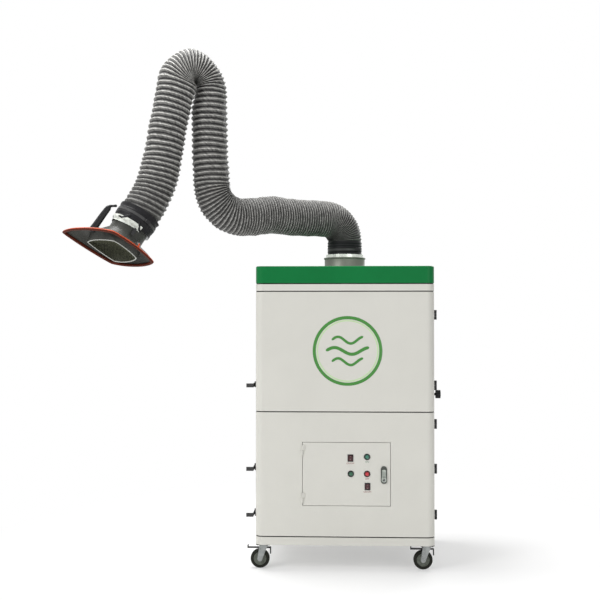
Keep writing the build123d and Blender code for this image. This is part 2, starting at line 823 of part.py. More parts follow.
def blower_housing():
    low, high = blower_low(), divider_z - sheet / 2
    near_y, far_y = filter_y - blower_half_width, filter_y + blower_half_width
    can = block(-blower_half_width, blower_half_width, near_y, far_y, low, high)
    can -= block(-blower_half_width + sheet, blower_half_width - sheet, near_y + sheet, far_y - sheet,
                 low + sheet, high - sheet)
    can -= Pos(0, filter_y, high) * Cylinder(blower_inlet, 4 * sheet)
    can -= Pos(0, filter_y, low) * Cylinder(motor_shaft_radius + loose_fit, 4 * sheet)
    can -= block(-blower_outlet[0] / 2, blower_outlet[0] / 2, filter_y, rear, outlet_low(),
                 outlet_low() + blower_outlet[1])
    duct = block(-blower_outlet[0] / 2 - sheet, blower_outlet[0] / 2 + sheet, far_y, rear - sheet,
                 outlet_low() - sheet, outlet_low() + blower_outlet[1] + sheet)
    duct -= block(-blower_outlet[0] / 2, blower_outlet[0] / 2, filter_y, rear, outlet_low(),
                  outlet_low() + blower_outlet[1])
    return can + duct


def impeller():
    low = blower_low() + impeller_lift
    at = Pos(0, filter_y, low)
    back_plate = at * extrude(Circle(impeller_radius), impeller_plate)
    shroud = Pos(0, filter_y, low + impeller_width) * extrude(Circle(impeller_radius) - Circle(impeller_eye),
                                                             impeller_plate)
    wheel = back_plate + shroud + at * extrude(Circle(hub_boss_radius), hub_boss_height)
    span = impeller_radius - impeller_eye
    for i in range(impeller_blades):
        turn = 360.0 * i / impeller_blades
        at_blade = Pos(0, filter_y, 0) * Rot(0, 0, turn) * Pos((impeller_radius + impeller_eye) / 2, 0, low)
        blade = block(-span / 2, span / 2, -blade_thickness / 2, blade_thickness / 2, 0, impeller_width)
        wheel += at_blade * Rot(0, 0, blade_angle) * blade
    shaft = Pos(0, filter_y, blower_low() - motor_shaft_grip)
    shaft = shaft * extrude(Circle(motor_shaft_radius), motor_shaft_grip + impeller_lift + hub_boss_height)
    return wheel + shaft


def fan_motor():
    top = blower_low()
    flange = Pos(0, filter_y, top - motor_flange) * extrude(Circle(motor_flange_radius), motor_flange)
    body = Pos(0, filter_y, top - motor_flange - motor_length) * extrude(Circle(motor_radius), motor_length)
    for i in range(motor_fins):
        turn = 360.0 * i / motor_fins
        fin = block(motor_radius - motor_fin[0], motor_radius + motor_fin[1],
                    -motor_fin[0] / 2, motor_fin[0] / 2,
                    top - motor_flange - motor_length, top - motor_flange)
        body += Pos(0, filter_y, 0) * Rot(0, 0, turn) * fin
    motor = flange + body
    grip = motor_shaft_grip + overrun
    hole = Pos(0, filter_y, top - grip) * extrude(Circle(motor_shaft_radius + shaft_fit), grip + overrun)
    return motor - hole


def outlet_grille():
    centre_z = outlet_low() + blower_outlet[1] / 2
    plate = block(-grille_size[0] / 2, grille_size[0] / 2, rear, rear + grille_thickness,
                  centre_z - grille_size[1] / 2, centre_z + grille_size[1] / 2)
    room = grille_size[1] - 2 * grille_border
    reach = grille_size[0] / 2 - grille_border
    for i in range(grille_slots):
        z = centre_z - room / 2 + room * (i + 1 / 2) / grille_slots
        plate -= block(-reach, reach, rear - overrun, rear + grille_thickness + overrun,
                       z - grille_slot_height / 2, z + grille_slot_height / 2)
    return plate


def cable_gland():
    plane = Plane(origin=(gland_x, rear, gland_z), z_dir=(0, 1, 0))
    hexagon = extrude(plane * RegularPolygon(gland_hex_radius, 6), gland_hex_length)
    dome = rod((gland_x, rear + gland_hex_length, gland_z), (0, 1, 0), gland_dome_radius, gland_dome_length)
    dome = fillet(dome.faces().sort_by(Axis.Y)[-1].edges(), gland_dome_radius / 3)
    stub = rod((gland_x, rear - 3 * sheet, gland_z), (0, 1, 0), gland_bore + sheet - loose_fit, 3 * sheet)
    gland = hexagon + dome + stub
    bore_length = gland_hex_length + gland_dome_length + 5 * sheet
    return gland - rod((gland_x, rear - 4 * sheet, gland_z), (0, 1, 0), gland_bore, bore_length)


# Arm path: corners of the centreline in the arm's plane

collar_top_z = top_z + collar_rise
cuff_z = collar_top_z + swivel_height
flared_valley = flared_crest - (hose_crest - hose_valley)
bend_z = shoulder_z - shoulder_bend
crown_turn = math.radians(90 - crown_lean)
crown_tangent = crown_bend * math.tan(crown_turn / 2)
elbow_a = (knee_reach, crown_z + crown_bend)
elbow_b = (knee_reach + crown_bend + crown_tangent, crown_z + crown_bend)
lean = math.radians(crown_lean)
tilt = math.radians(wrist_lean)
fore_start = (knee_reach + crown_bend + crown_bend * math.cos(lean), crown_z + crown_bend * math.sin(lean))
fore_end = (fore_start[0] + fore_length * math.sin(lean), fore_start[1] - fore_length * math.cos(lean))
wrist_tangent = wrist_bend * math.tan((tilt - lean) / 2)
wrist_at = (fore_end[0] + wrist_tangent * math.sin(lean), fore_end[1] - wrist_tangent * math.cos(lean))
wrist_end = (wrist_at[0] + wrist_tangent * math.sin(tilt), wrist_at[1] - wrist_tangent * math.cos(tilt))
neck_dir = arm_out * math.sin(tilt) - Vector(0, 0, math.cos(tilt))


def straight(start, angle, length):
    """A straight run in the arm's plane: places and headings by distance."""
    def at(distance):
        s = start[0] + distance * math.cos(math.radians(angle))
        z = start[1] + distance * math.sin(math.radians(angle))
        return (s, z), angle
    return at, length


def bend(start, angle, radius, turn):
    """A round bend in the arm's plane; a positive turn is anticlockwise."""
    side_angle = angle + (90 if turn > 0 else -90)
    centre_s = start[0] + radius * math.cos(math.radians(side_angle))
    centre_z = start[1] + radius * math.sin(math.radians(side_angle))

    def at(distance):
        turned = math.degrees(distance / radius) * (1 if turn > 0 else -1)
        spoke = math.radians(side_angle + 180 + turned)
        return (centre_s + radius * math.cos(spoke), centre_z + radius * math.sin(spoke)), angle + turned
    return at, radius * math.radians(abs(turn))


def hose_circle(run, distance, radius):
    """A circle square to a run, with the arm's pin direction as its steady X axis."""
    (s, z), angle = run[0](distance)
    heading = arm_out * math.cos(math.radians(angle)) + Vector(0, 0, math.sin(math.radians(angle)))
    return Plane(origin=arm_at(s, z), x_dir=arm_pin, z_dir=heading) * Circle(radius)


def hose_piece(parts):
    """Ribbed hose along runs. Each part is a run, a rib count, and crest radii at its start and end.
    A part with no ribs is plain at its crest radius."""
    outer = []
    inner = []
    rib_rise = hose_crest - hose_valley
    last = None
    for run, ribs, crest_start, crest_end in parts:
        length = run[1]
        if not ribs:
            outer += [hose_circle(run, 0, crest_start), hose_circle(run, length, crest_start)]
            inner += [hose_circle(run, 0, crest_start - hose_wall)]
            last = (run, crest_start)
            continue
        for i in range(ribs):
            for share, rise in rib_profile_shares:
                distance = length * (i + share) / ribs
                if not outer or distance > 0 or last is None:
                    crest = crest_start + (crest_end - crest_start) * distance / length
                    outer.append(hose_circle(run, distance, crest - rib_rise * (1 - rise)))
            distance = length * i / ribs
            crest = crest_start + (crest_end - crest_start) * distance / length
            if not (last is not None and i == 0):
                inner.append(hose_circle(run, distance, crest - rib_rise - hose_wall))
        last = (run, crest_end - rib_rise)
    run, radius = last
    if parts[-1][1]:
        outer.append(hose_circle(run, run[1], radius))
    inner.append(hose_circle(run, run[1], radius - hose_wall))
    return loft(outer, ruled=True) - loft(inner, ruled=True)


def hose_runs():
    """Each hose node's runs, rib counts and crest radii."""
    up, level, down = 90, 0, -90
    fall = down + crown_lean
    drop = down + wrist_lean
    plain = hose_end_radius
    return {
        "hose_shoulder": [(straight((0, cuff_z), up, bend_z - cuff_z), 0, plain, plain),
                          (bend((0, bend_z), up, shoulder_bend, level - up), shoulder_ribs, hose_crest, packed_crest)],
        "hose_lower": [(straight((shoulder_bend, shoulder_z), level, knee_reach - shoulder_bend - knee_bend),
                        lower_ribs, packed_crest, packed_crest)],
        "hose_knee": [(bend((knee_reach - knee_bend, shoulder_z), level, knee_bend, up - level), knee_ribs,
                       packed_crest, hose_crest)],
        "hose_middle": [(straight((knee_reach, shoulder_z + knee_bend), up, crown_z - shoulder_z - knee_bend),
                         middle_ribs, hose_crest, hose_crest)],
        "hose_crown": [(bend((knee_reach, crown_z), up, crown_bend, fall - up), crown_ribs,
                        hose_crest, hose_crest)],
        "hose_fore": [(straight(fore_start, fall, fore_length), fore_ribs, hose_crest, hose_crest)],
        "hose_wrist": [(bend(fore_end, fall, wrist_bend, drop - fall), wrist_ribs,
                        hose_crest, flared_crest),
                       (straight(wrist_end, drop, wrist_run), 0, flared_valley, flared_valley)],
    }


# Arm skeleton


def collar():
    tube = Pos(0, 0, top_z - collar_drop) * extrude(Circle(collar_radius), collar_drop + collar_rise)
    flange = Pos(0, 0, top_z) * extrude(Circle(collar_flange_radius), collar_flange)
    lip = Pos(0, 0, collar_top_z) * extrude(Circle(collar_radius + collar_lip), -collar_lip_height)
    whole = tube + flange + lip
    return whole - Pos(0, 0, top_z) * Cylinder(collar_radius - collar_wall, 2 * (collar_drop + collar_rise))


def clevis(at, away):
    """Two cheeks with a pin about a joint, reaching back from it along a direction in the arm's plane."""
    outer = tongue_half + clevis_gap + clevis_plate
    pieces = None
    for low in (-outer, tongue_half + clevis_gap):
        centre = at + arm_pin * low
        cheek = rod(centre, arm_pin, knuckle_radius, clevis_plate)
        bar_plane = Plane(origin=centre, x_dir=away, z_dir=arm_pin)
        cheek += extrude(bar_plane * (Pos(clevis_reach / 2, 0) * Rectangle(clevis_reach, 2 * knuckle_radius)),
                         clevis_plate)
        pieces = cheek if pieces is None else pieces + cheek
    root_plane = Plane(origin=at - arm_pin * outer + away * (clevis_root + (clevis_reach - clevis_root) / 2),
                       x_dir=away, z_dir=arm_pin)
    root = extrude(root_plane * Rectangle(clevis_reach - clevis_root, 2 * knuckle_radius), 2 * outer)
    pin = rod(at - arm_pin * outer, arm_pin, arm_pin_radius, 2 * outer)
    return pieces + root + pin


def tongue(at, away):
    """A flat eye about a joint, reaching along a direction in the arm's plane."""
    eye = rod(at - arm_pin * tongue_half, arm_pin, knuckle_radius, 2 * tongue_half)
    plane = Plane(origin=at - arm_pin * tongue_half, x_dir=away, z_dir=arm_pin)
    eye += extrude(plane * (Pos(clevis_reach / 2, 0) * Rectangle(clevis_reach, link_height)), 2 * tongue_half)
    return eye


def tongue_hole(at):
    return rod(at - arm_pin * 2 * tongue_half, arm_pin, arm_pin_radius + shaft_fit, 4 * tongue_half)


def link(start, end):
    """A link with an eye at its start and a clevis at its end."""
    a, b = arm_at(*start), arm_at(*end)
    away = (b - a).normalized()
    span = (b - a).length
    plane = Plane(origin=a - arm_pin * link_thickness / 2, x_dir=away, z_dir=arm_pin)
    bar_length = span - clevis_reach / 2 - clevis_root
    bar = extrude(plane * (Pos(clevis_reach / 2 + bar_length / 2, 0) * Rectangle(bar_length, link_height)),
                  link_thickness)
    return tongue(a, away) + bar + clevis(b, away * -1) - tongue_hole(a)


def swivel_ring():
    """Turning ring on the collar, with the hose spigot, a cross bar and the post to the shoulder."""
    skirt_radius = collar_radius - collar_wall - turning_gap
    low = collar_top_z + loose_fit
    spigot_radius = hose_end_radius - hose_wall - cuff_fit
    ring = Pos(0, 0, low) * extrude(Circle(swivel_radius + collar_lip), swivel_height - loose_fit)
    skirt = Pos(0, 0, low - swivel_skirt_drop) * extrude(Circle(skirt_radius), swivel_skirt_drop)
    spigot = Pos(0, 0, low) * extrude(Circle(spigot_radius), swivel_height + cuff_length / 2)
    body = ring + skirt + spigot
    body -= Pos(0, 0, low) * Cylinder(spigot_radius - swivel_skirt_wall, 4 * cuff_length)
    bar_plane = Plane(origin=(0, 0, low), x_dir=arm_pin, z_dir=(0, 0, 1))
    cross = extrude(bar_plane * Rectangle(2 * spigot_radius - swivel_skirt_wall, spider_bar), spider_bar)
    post_top = shoulder_z - clevis_reach + overrun
    post = extrude(bar_plane * Rectangle(link_height, link_height), post_top - low)
    return body + cross + post + clevis(arm_at(0, shoulder_z), Vector(0, 0, -1))


def base_cuff():
    inner = hose_end_radius + cuff_fit
    plane = Plane(origin=(0, 0, cuff_z))
    cuff = extrude(plane * (Circle(inner + cuff_wall) - Circle(inner)), cuff_length)
    ring = extrude(plane * (Circle(inner + 2 * cuff_wall) - Circle(inner)), 2 * cuff_wall)
    return cuff + ring


def neck_plane(distance):
    """A plane square to the neck, this far below the end of the wrist bend."""
    return Plane(origin=arm_at(*wrist_end) + neck_dir * distance, x_dir=arm_pin, z_dir=neck_dir)


def hood_cuff():
    inner = flared_valley + cuff_fit
    length = wrist_run - wrist_cuff_start
    plane = neck_plane(wrist_cuff_start)
    cuff = extrude(plane * (Circle(inner + 2 * cuff_wall) - Circle(inner)), length)
    bead = extrude(plane * (Circle(inner + 3 * cuff_wall) - Circle(inner)), 2 * cuff_wall)
    return cuff + bead


def hood_spigot():
    """Metal spigot in the hose's end, with its bare band, a cross bar and the stem to the wrist pin."""
    outer = flared_valley - hose_wall - cuff_fit
    inner = outer - spigot_wall
    tube = extrude(neck_plane(wrist_cuff_start) * Circle(outer), wrist_run - wrist_cuff_start)
    band = extrude(neck_plane(wrist_run) * Circle(band_radius), band_length)
    body = tube + band - extrude(neck_plane(0) * Circle(inner), wrist_run + 2 * band_length)
    cross = extrude(neck_plane(wrist_cuff_start) * Rectangle(2 * inner + spigot_wall, spider_bar), spider_bar)
    stem = extrude(neck_plane(spider_bar - wrist_tangent) * Rectangle(link_thickness, link_height),
                   wrist_tangent + wrist_cuff_start)
    at = arm_at(*wrist_at)
    return body + cross + stem + tongue(at, neck_dir) - tongue_hole(at)


# Hood

neck_start = wrist_run + band_length + loose_fit
neck_end = arm_at(*wrist_end) + neck_dir * (neck_start + neck_length)
face_dir = Vector(*hood_face).normalized()
long_dir = Vector(*hood_long).normalized()
rim_centre = neck_end - long_dir * hood_shift + face_dir * hood_drop
throat_centre = rim_centre - face_dir * throat_drop + long_dir * throat_shift


def face_plane(centre):
    """A plane parallel to the hood's mouth."""
    return Plane(origin=centre, x_dir=long_dir, z_dir=face_dir)


def neck_circle(distance, radius):
    """A circle square to the neck whose start lies towards the hood's long direction."""
    across = (long_dir - neck_dir * long_dir.dot(neck_dir)).normalized()
    origin = arm_at(*wrist_end) + neck_dir * distance
    return Plane(origin=origin, x_dir=across, z_dir=neck_dir) * Circle(radius)


def funnel(inset):
    """The hood's funnel, drawn in by an inset."""
    throat = Ellipse(throat_half_length - inset, throat_half_width - inset)
    mouth = Ellipse(hood_half_length - inset, hood_half_width - inset)
    return loft([neck_circle(neck_start + neck_length, neck_radius - inset), face_plane(throat_centre) * throat,
                 face_plane(rim_centre) * mouth], ruled=True)


def hood_shell():
    neck = extrude(neck_circle(neck_start, neck_radius), neck_length)
    neck -= extrude(neck_circle(neck_start - overrun, neck_radius - hood_wall), neck_length + 2 * overrun)
    sleeve_radius = flared_valley - hose_wall - cuff_fit - spigot_wall - turning_gap
    sleeve = extrude(neck_circle(neck_start - neck_sleeve, sleeve_radius), neck_sleeve + overrun)
    sleeve -= extrude(neck_circle(neck_start - neck_sleeve - overrun, sleeve_radius - hood_wall),
                      neck_sleeve + 3 * overrun)
    shell = neck + sleeve + (funnel(0) - funnel(hood_wall))
    return shell - flap_bores()


def flap_at():
    return arm_at(*wrist_end) + neck_dir * (neck_start + flap_down)


def flap_bores():
    start = flap_at() - arm_pin * 2 * neck_radius
    return rod(start, arm_pin, flap_spindle_radius + shaft_fit, 4 * neck_radius)


def hood_rim():
    outline = Ellipse(hood_half_length + rim_outward, hood_half_width + rim_outward)
    outline -= Ellipse(hood_half_length - rim_inward, hood_half_width - rim_inward)
    return extrude(face_plane(rim_centre) * outline, rim_depth)


def hood_mesh():
    """Wire guard in the throat: one flat holed plate."""
    half_length = throat_half_length - hood_wall - mesh_fit
    half_width = throat_half_width - hood_wall - mesh_fit
    net = Ellipse(half_length, half_width)
    pitch = mesh_cell + mesh_bar
    columns = int(half_length / pitch) + 1
    rows = int(half_width / pitch) + 1
    holes = []
    for i in range(-columns, columns + 1):
        for j in range(-rows, rows + 1):
            x, y = i * pitch, j * pitch
            far_x = (abs(x) + mesh_cell / 2) / (half_length - mesh_border)
            far_y = (abs(y) + mesh_cell / 2) / (half_width - mesh_border)
            if far_x ** 2 + far_y ** 2 < 1:
                holes.append(Pos(x, y) * Rectangle(mesh_cell, mesh_cell))
    for hole in holes:
        net -= hole
    return extrude(face_plane(throat_centre) * net, mesh_thickness)


def tapered_bar(start, end, start_radius, end_radius):
    heading = (end - start).normalized()
    return loft([Plane(origin=start, x_dir=arm_pin, z_dir=heading) * Circle(start_radius),
                 Plane(origin=end, x_dir=arm_pin, z_dir=heading) * Circle(end_radius)], ruled=True)


def handle_at(offset):
    """A place of the grip, from the neck's lower end."""
    return neck_end + arm_out * offset[0] + Vector(0, 0, offset[1])


def hood_handle():
    foot, top, end = [handle_at(offset) for offset in (handle_foot_offset, handle_top_offset, handle_end_offset)]
    bar = tapered_bar(foot, top, handle_foot_radius, handle_top_radius)
    bar += tapered_bar(top, end, handle_top_radius, handle_tip_radius)
    bar += Pos(*top) * Sphere(handle_top_radius)
    bar += Pos(*end) * Sphere(handle_tip_radius + handle_tip_radius / 2)
    return bar - funnel(0)


def damper_flap():
    at = flap_at()
    across = neck_dir.cross(arm_pin)
    disc_plane = Plane(origin=at - across * flap_thickness / 2, x_dir=arm_pin, z_dir=across)
    disc = extrude(disc_plane * Circle(flap_radius), flap_thickness)
    spindle = rod(at - arm_pin * (neck_radius + flap_spindle_proud), arm_pin, flap_spindle_radius,
                  2 * neck_radius + flap_spindle_proud + 2 * hood_wall)
    lever_start = at - arm_pin * (neck_radius + flap_spindle_proud)
    lever_plane = Plane(origin=lever_start, x_dir=neck_dir, z_dir=arm_pin)
    lever_plate = Pos(flap_lever_length / 2, 0) * Rectangle(flap_lever_length, flap_lever_width)
    lever = extrude(lever_plane * lever_plate, flap_lever_thickness)
    lever += rod(lever_start, arm_pin, flap_lever_width / 2, flap_lever_thickness)
    return disc + spindle + lever


def main():
    os.makedirs("parts", exist_ok=True)
    save("cabinet_shell", cabinet_shell())
    save("lid_cover", lid_cover())
    save("base_frame", base_frame())
    save("caster_plates", caster_plates())
    save("collar", collar())
    save("filter_cartridge", filter_cartridge())
    save("dust_tray", dust_tray())
    save("blower_housing", blower_housing())
    save("impeller", impeller())
    save("fan_motor", fan_motor())
    save("outlet_grille", outlet_grille())
    save("cable_gland", cable_gland())
    save("side_fittings", side_fittings())
    save("upper_door", upper_door())
    save("upper_door_fittings", upper_door_fittings())
    save("lower_door", lower_door())
    save("lower_door_fittings", lower_door_fittings())
    save("control_door", control_door())
    save("contactor", contactor())
    save("switch_bezels", switch_bezels())
    save("rocker_power", rocker(rocker_places[0]))
    save("rocker_light", rocker(rocker_places[1]))
    save("button_start", push_button(button_places[0]))
    save("button_reset", push_button(button_places[1]))
    save("button_stop", push_button(button_places[2]))
    save("control_lock", control_lock())
    for name, pick in zip(("top", "middle", "bottom"), latch_picks):
        save("latch_lever_" + name, latch_lever(fitting_heights[pick]))
    save("airflow_knob", airflow_knob())
    for name, place in caster_places().items():
        save("caster_fork_" + name, caster_fork(place))
        save("caster_wheel_" + name, caster_wheel(place))
    for name in ("front_left", "front_right"):
        save("brake_pedal_" + name, brake_pedal(caster_places()[name]))
    save("swivel_ring", swivel_ring())
    save("base_cuff", base_cuff())
    for name, parts in hose_runs().items():
        save(name, hose_piece(parts))
    save("lower_link", link((0, shoulder_z), (knee_reach, shoulder_z)))
    save("middle_link", link((knee_reach, shoulder_z), elbow_a))
    save("elbow_bracket", link(elbow_a, elbow_b))
    save("fore_link", link(elbow_b, wrist_at))
    save("hood_cuff", hood_cuff())
    save("hood_spigot", hood_spigot())
    save("hood_shell", hood_shell())
    save("hood_rim", hood_rim())
    save("hood_mesh", hood_mesh())
    save("hood_handle", hood_handle())
    save("damper_flap", damper_flap())


main()
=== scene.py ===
import json
import math

import bpy
from bpy.props import FloatProperty, FloatVectorProperty, IntProperty, PointerProperty
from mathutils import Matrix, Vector, noise

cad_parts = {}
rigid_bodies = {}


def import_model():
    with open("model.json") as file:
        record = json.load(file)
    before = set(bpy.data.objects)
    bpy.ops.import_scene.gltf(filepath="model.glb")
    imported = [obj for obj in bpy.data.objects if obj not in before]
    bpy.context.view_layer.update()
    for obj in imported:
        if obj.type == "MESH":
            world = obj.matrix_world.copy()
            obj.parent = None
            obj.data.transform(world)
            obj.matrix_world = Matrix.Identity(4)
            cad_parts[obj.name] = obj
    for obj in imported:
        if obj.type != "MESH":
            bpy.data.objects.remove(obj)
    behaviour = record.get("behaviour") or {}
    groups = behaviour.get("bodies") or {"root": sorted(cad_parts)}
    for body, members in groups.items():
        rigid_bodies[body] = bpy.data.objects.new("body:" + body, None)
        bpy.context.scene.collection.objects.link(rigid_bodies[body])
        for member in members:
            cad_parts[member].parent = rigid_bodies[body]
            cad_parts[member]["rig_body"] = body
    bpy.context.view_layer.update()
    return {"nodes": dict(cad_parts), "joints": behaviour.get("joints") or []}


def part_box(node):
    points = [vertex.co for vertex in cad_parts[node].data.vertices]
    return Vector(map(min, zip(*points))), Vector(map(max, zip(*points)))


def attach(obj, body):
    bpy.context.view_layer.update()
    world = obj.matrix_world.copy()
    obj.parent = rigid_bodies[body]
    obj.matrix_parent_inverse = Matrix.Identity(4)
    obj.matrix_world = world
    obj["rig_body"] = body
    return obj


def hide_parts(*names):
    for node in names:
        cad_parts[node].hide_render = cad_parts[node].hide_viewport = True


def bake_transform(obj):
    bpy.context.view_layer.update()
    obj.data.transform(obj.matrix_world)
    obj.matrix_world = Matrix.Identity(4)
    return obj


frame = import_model()

bl_info = {
    "name": "Welding fume extractor",
    "version": (1, 0, 0),
    "blender": (4, 5, 0),
    "location": "3D View > Sidebar > Extractor",
    "description": "Dresses the packed fume extractor with modelled pieces and painted, moulded and woven finishes",
    "category": "Object",
}

# Directions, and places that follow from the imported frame, in metres. The arm stands in one upright plane.
right, back, front, up = Vector((1, 0, 0)), Vector((0, 1, 0)), Vector((0, -1, 0)), Vector((0, 0, 1))
joints = {joint["name"]: joint for joint in frame["joints"]}
shoulder_at, knee_at, elbow_at, follow_at, wrist_at = [
    Vector(joints[name]["pos_m"]) for name in ("shoulder", "knee", "elbow", "elbow_follow", "wrist")]
arm_out = (knee_at - shoulder_at).normalized()
arm_pin = arm_out.cross(up)
hose_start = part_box("base_cuff")[0].z
front_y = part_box("upper_door")[0].y
side_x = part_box("upper_door")[1].x
caster_names = ("front_left", "front_right", "rear_left", "rear_right")
hinge_heights = (0.997, 0.719, 0.567, 0.391, 0.211)


def colour_setting(name, description, colour):
    """A colour as it is seen, from red, green and blue out of 255."""
    return FloatVectorProperty(name=name, description=description, default=[c / 255 for c in colour],
                               subtype="COLOR_GAMMA", size=3, min=0, max=1)


def length_setting(name, description, default):
    return FloatProperty(name=name, description=description, default=default, unit="LENGTH", min=0)


def turn_setting(name, description, degrees):
    return FloatProperty(name=name, description=description, default=math.radians(degrees), unit="ROTATION")


class ExtractorSizes(bpy.types.PropertyGroup):
    shoulder_bend: length_setting("Base bend", "Radius of the hose's first bend", 0.092)
    knee_bend: length_setting("Knee bend", "Radius of the bend where the hose turns up", 0.118)
    crown_bend: length_setting("Crown bend", "Radius of the bend at the top", 0.082)
    fore_length: length_setting("Falling run", "Length of the straight run down to the hood", 0.296)
    wrist_bend: length_setting("Wrist bend", "Radius of the bend above the hood", 0.448)
    wrist_run: length_setting("Wrist run", "Straight end of the hose in the hood's cuff", 0.08)
    crown_turn: turn_setting("Crown turn", "How far the hose turns over at the top", 173.5)
    wrist_turn: turn_setting("Wrist turn", "How far the hose turns out above the hood", 27.5)
    fold_depth: length_setting("Fold depth", "How far the cloth sinks between two wires", 0.0074)
    crease_depth: length_setting("Crease depth", "Height of the slanting creases in the cloth", 0.0022)
    columns: IntProperty(name="Columns", description="Faces round the hose", default=72, min=16)
    edge: length_setting("Edge", "Rounding on sheet and moulded edges", 0.0007)
    sign_radius: length_setting("Sign radius", "Radius of the air sign on the upper door", 0.136)


class ExtractorColours(bpy.types.PropertyGroup):
    cabinet: colour_setting("Cabinet", "Powder coat on the cabinet", (206, 205, 198))
    lid: colour_setting("Lid", "Powder coat on the lid", (14, 110, 56))
    hose: colour_setting("Hose", "Hose cloth", (150, 149, 146))
    # A painted highlight along the crest over each wire
    hose_wire: colour_setting("Hose wire", "Crest of the cloth over the wire", (246, 245, 240))
    # Painted shade in the bottom of each fold
    hose_fold_shade: colour_setting("Hose fold", "Bottom of a fold", (26, 25, 27))
    rubber: colour_setting("Rubber", "Cuffs, knobs and feet", (38, 38, 40))
    hood: colour_setting("Hood", "Moulded hood", (64, 65, 61))
    rim: colour_setting("Rim", "Rubber edge of the hood", (198, 82, 45))
    guard: colour_setting("Guard", "Wire guard in the hood", (84, 86, 68))
    pale_metal: colour_setting("Pale metal", "Bare bands and trims", (226, 230, 222))
    collar: colour_setting("Collar", "Cast collar on the lid", (126, 128, 119))
    zinc: colour_setting("Zinc", "Plated forks and screws", (150, 153, 152))
    tyre: colour_setting("Tyre", "Wheel tread", (38, 39, 34))
    hub: colour_setting("Hub", "Wheel centre", (92, 97, 87))
    start: colour_setting("Start", "Start button", (34, 104, 84))
    reset: colour_setting("Reset", "Reset button", (26, 84, 56))
    stop: colour_setting("Stop", "Stop button", (176, 32, 42))
    rocker: colour_setting("Rocker", "Rocker switches", (62, 15, 20))
    lock: colour_setting("Lock", "Lock lever", (173, 180, 172))
    sign: colour_setting("Sign", "Dark lines of the air sign", (52, 126, 40))
    sign_pale: colour_setting("Pale sign", "Pale lines of the air sign", (184, 212, 163))


def sizes():
    return bpy.context.scene.extractor_sizes


def colour(name):
    """A named colour of the panel, made linear for a shader socket."""
    seen = getattr(bpy.context.scene.extractor_colours, name)
    linear = [c / 12.92 if c <= 0.04045 else ((c + 0.055) / 1.055) ** 2.4 for c in seen]
    return (*linear, 1)


def shade(tone, share):
    """A colour, or a colour of the panel by its name, made darker, or past 1 lighter."""
    tone = colour(tone) if isinstance(tone, str) else tone
    return (*[min(1.0, c * share) for c in tone[:3]], 1)


# Finishes


class Finish:
    """A material's nodes as they are put together."""

    def __init__(self, name):
        self.material = bpy.data.materials.new(name)
        self.material.use_nodes = True
        self.tree = self.material.node_tree
        self.shader = self.tree.nodes["Principled BSDF"]

    def add(self, kind, values=(), **settings):
        node = self.tree.nodes.new("ShaderNode" + kind)
        for key, value in settings.items():
            setattr(node, key, value)
        for key, value in dict(values).items():
            node.inputs[key].default_value = value
        return node

    def join(self, source, target):
        """Link an output to a socket, or set the socket to a plain value."""
        if isinstance(source, bpy.types.NodeSocket):
            self.tree.links.new(source, target)
        else:
            target.default_value = source

    def place(self, stretch=(1, 1, 1)):
        mapping = self.add("Mapping", {"Scale": stretch})
        self.join(self.add("TexCoord").outputs["Object"], mapping.inputs["Vector"])
        return mapping.outputs["Vector"]

    def noise(self, where, scale, detail=3.0, roughness=0.55):
        node = self.add("TexNoise", {"Scale": scale, "Detail": detail, "Roughness": roughness})
        self.join(where, node.inputs["Vector"])
        return node.outputs["Fac"]

    def span(self, value, low, high, to_low=0.0, to_high=1.0):
        node = self.add("MapRange", {"From Min": low, "From Max": high, "To Min": to_low, "To Max": to_high})
        self.join(value, node.inputs["Value"])
        return node.outputs["Result"]

    def mix(self, amount, first, second):
        node = self.add("Mix", data_type="RGBA")
        for value, index in ((amount, 0), (first, 6), (second, 7)):
            self.join(value, node.inputs[index])
        return node.outputs[2]

    def math(self, operation, first, second=0.0):
        node = self.add("Math", operation=operation)
        self.join(first, node.inputs[0])
        self.join(second, node.inputs[1])
        return node.outputs[0]

    def bump(self, height, depth, before=None):
        node = self.add("Bump", {"Strength": 1.0, "Distance": depth})
        self.join(height, node.inputs["Height"])
        if before is not None:
            self.join(before, node.inputs["Normal"])
        return node.outputs["Normal"]

    def wear(self, tone, amount):
        """Lighter rubbed edges, found from the mesh's own corners."""
        corner = self.add("NewGeometry").outputs["Pointiness"]
        return self.mix(self.span(corner, 0.52, 0.6, 0.0, amount), tone, (0.6, 0.6, 0.58, 1))

    def set(self, **values):
        for key, value in values.items():
            self.shader.inputs[key.replace("_", " ")].default_value = value

    def done(self, tone, roughness, normal):
        for source, socket in ((tone, "Base Color"), (roughness, "Roughness"), (normal, "Normal")):
            self.join(source, self.shader.inputs[socket])
        return self.material


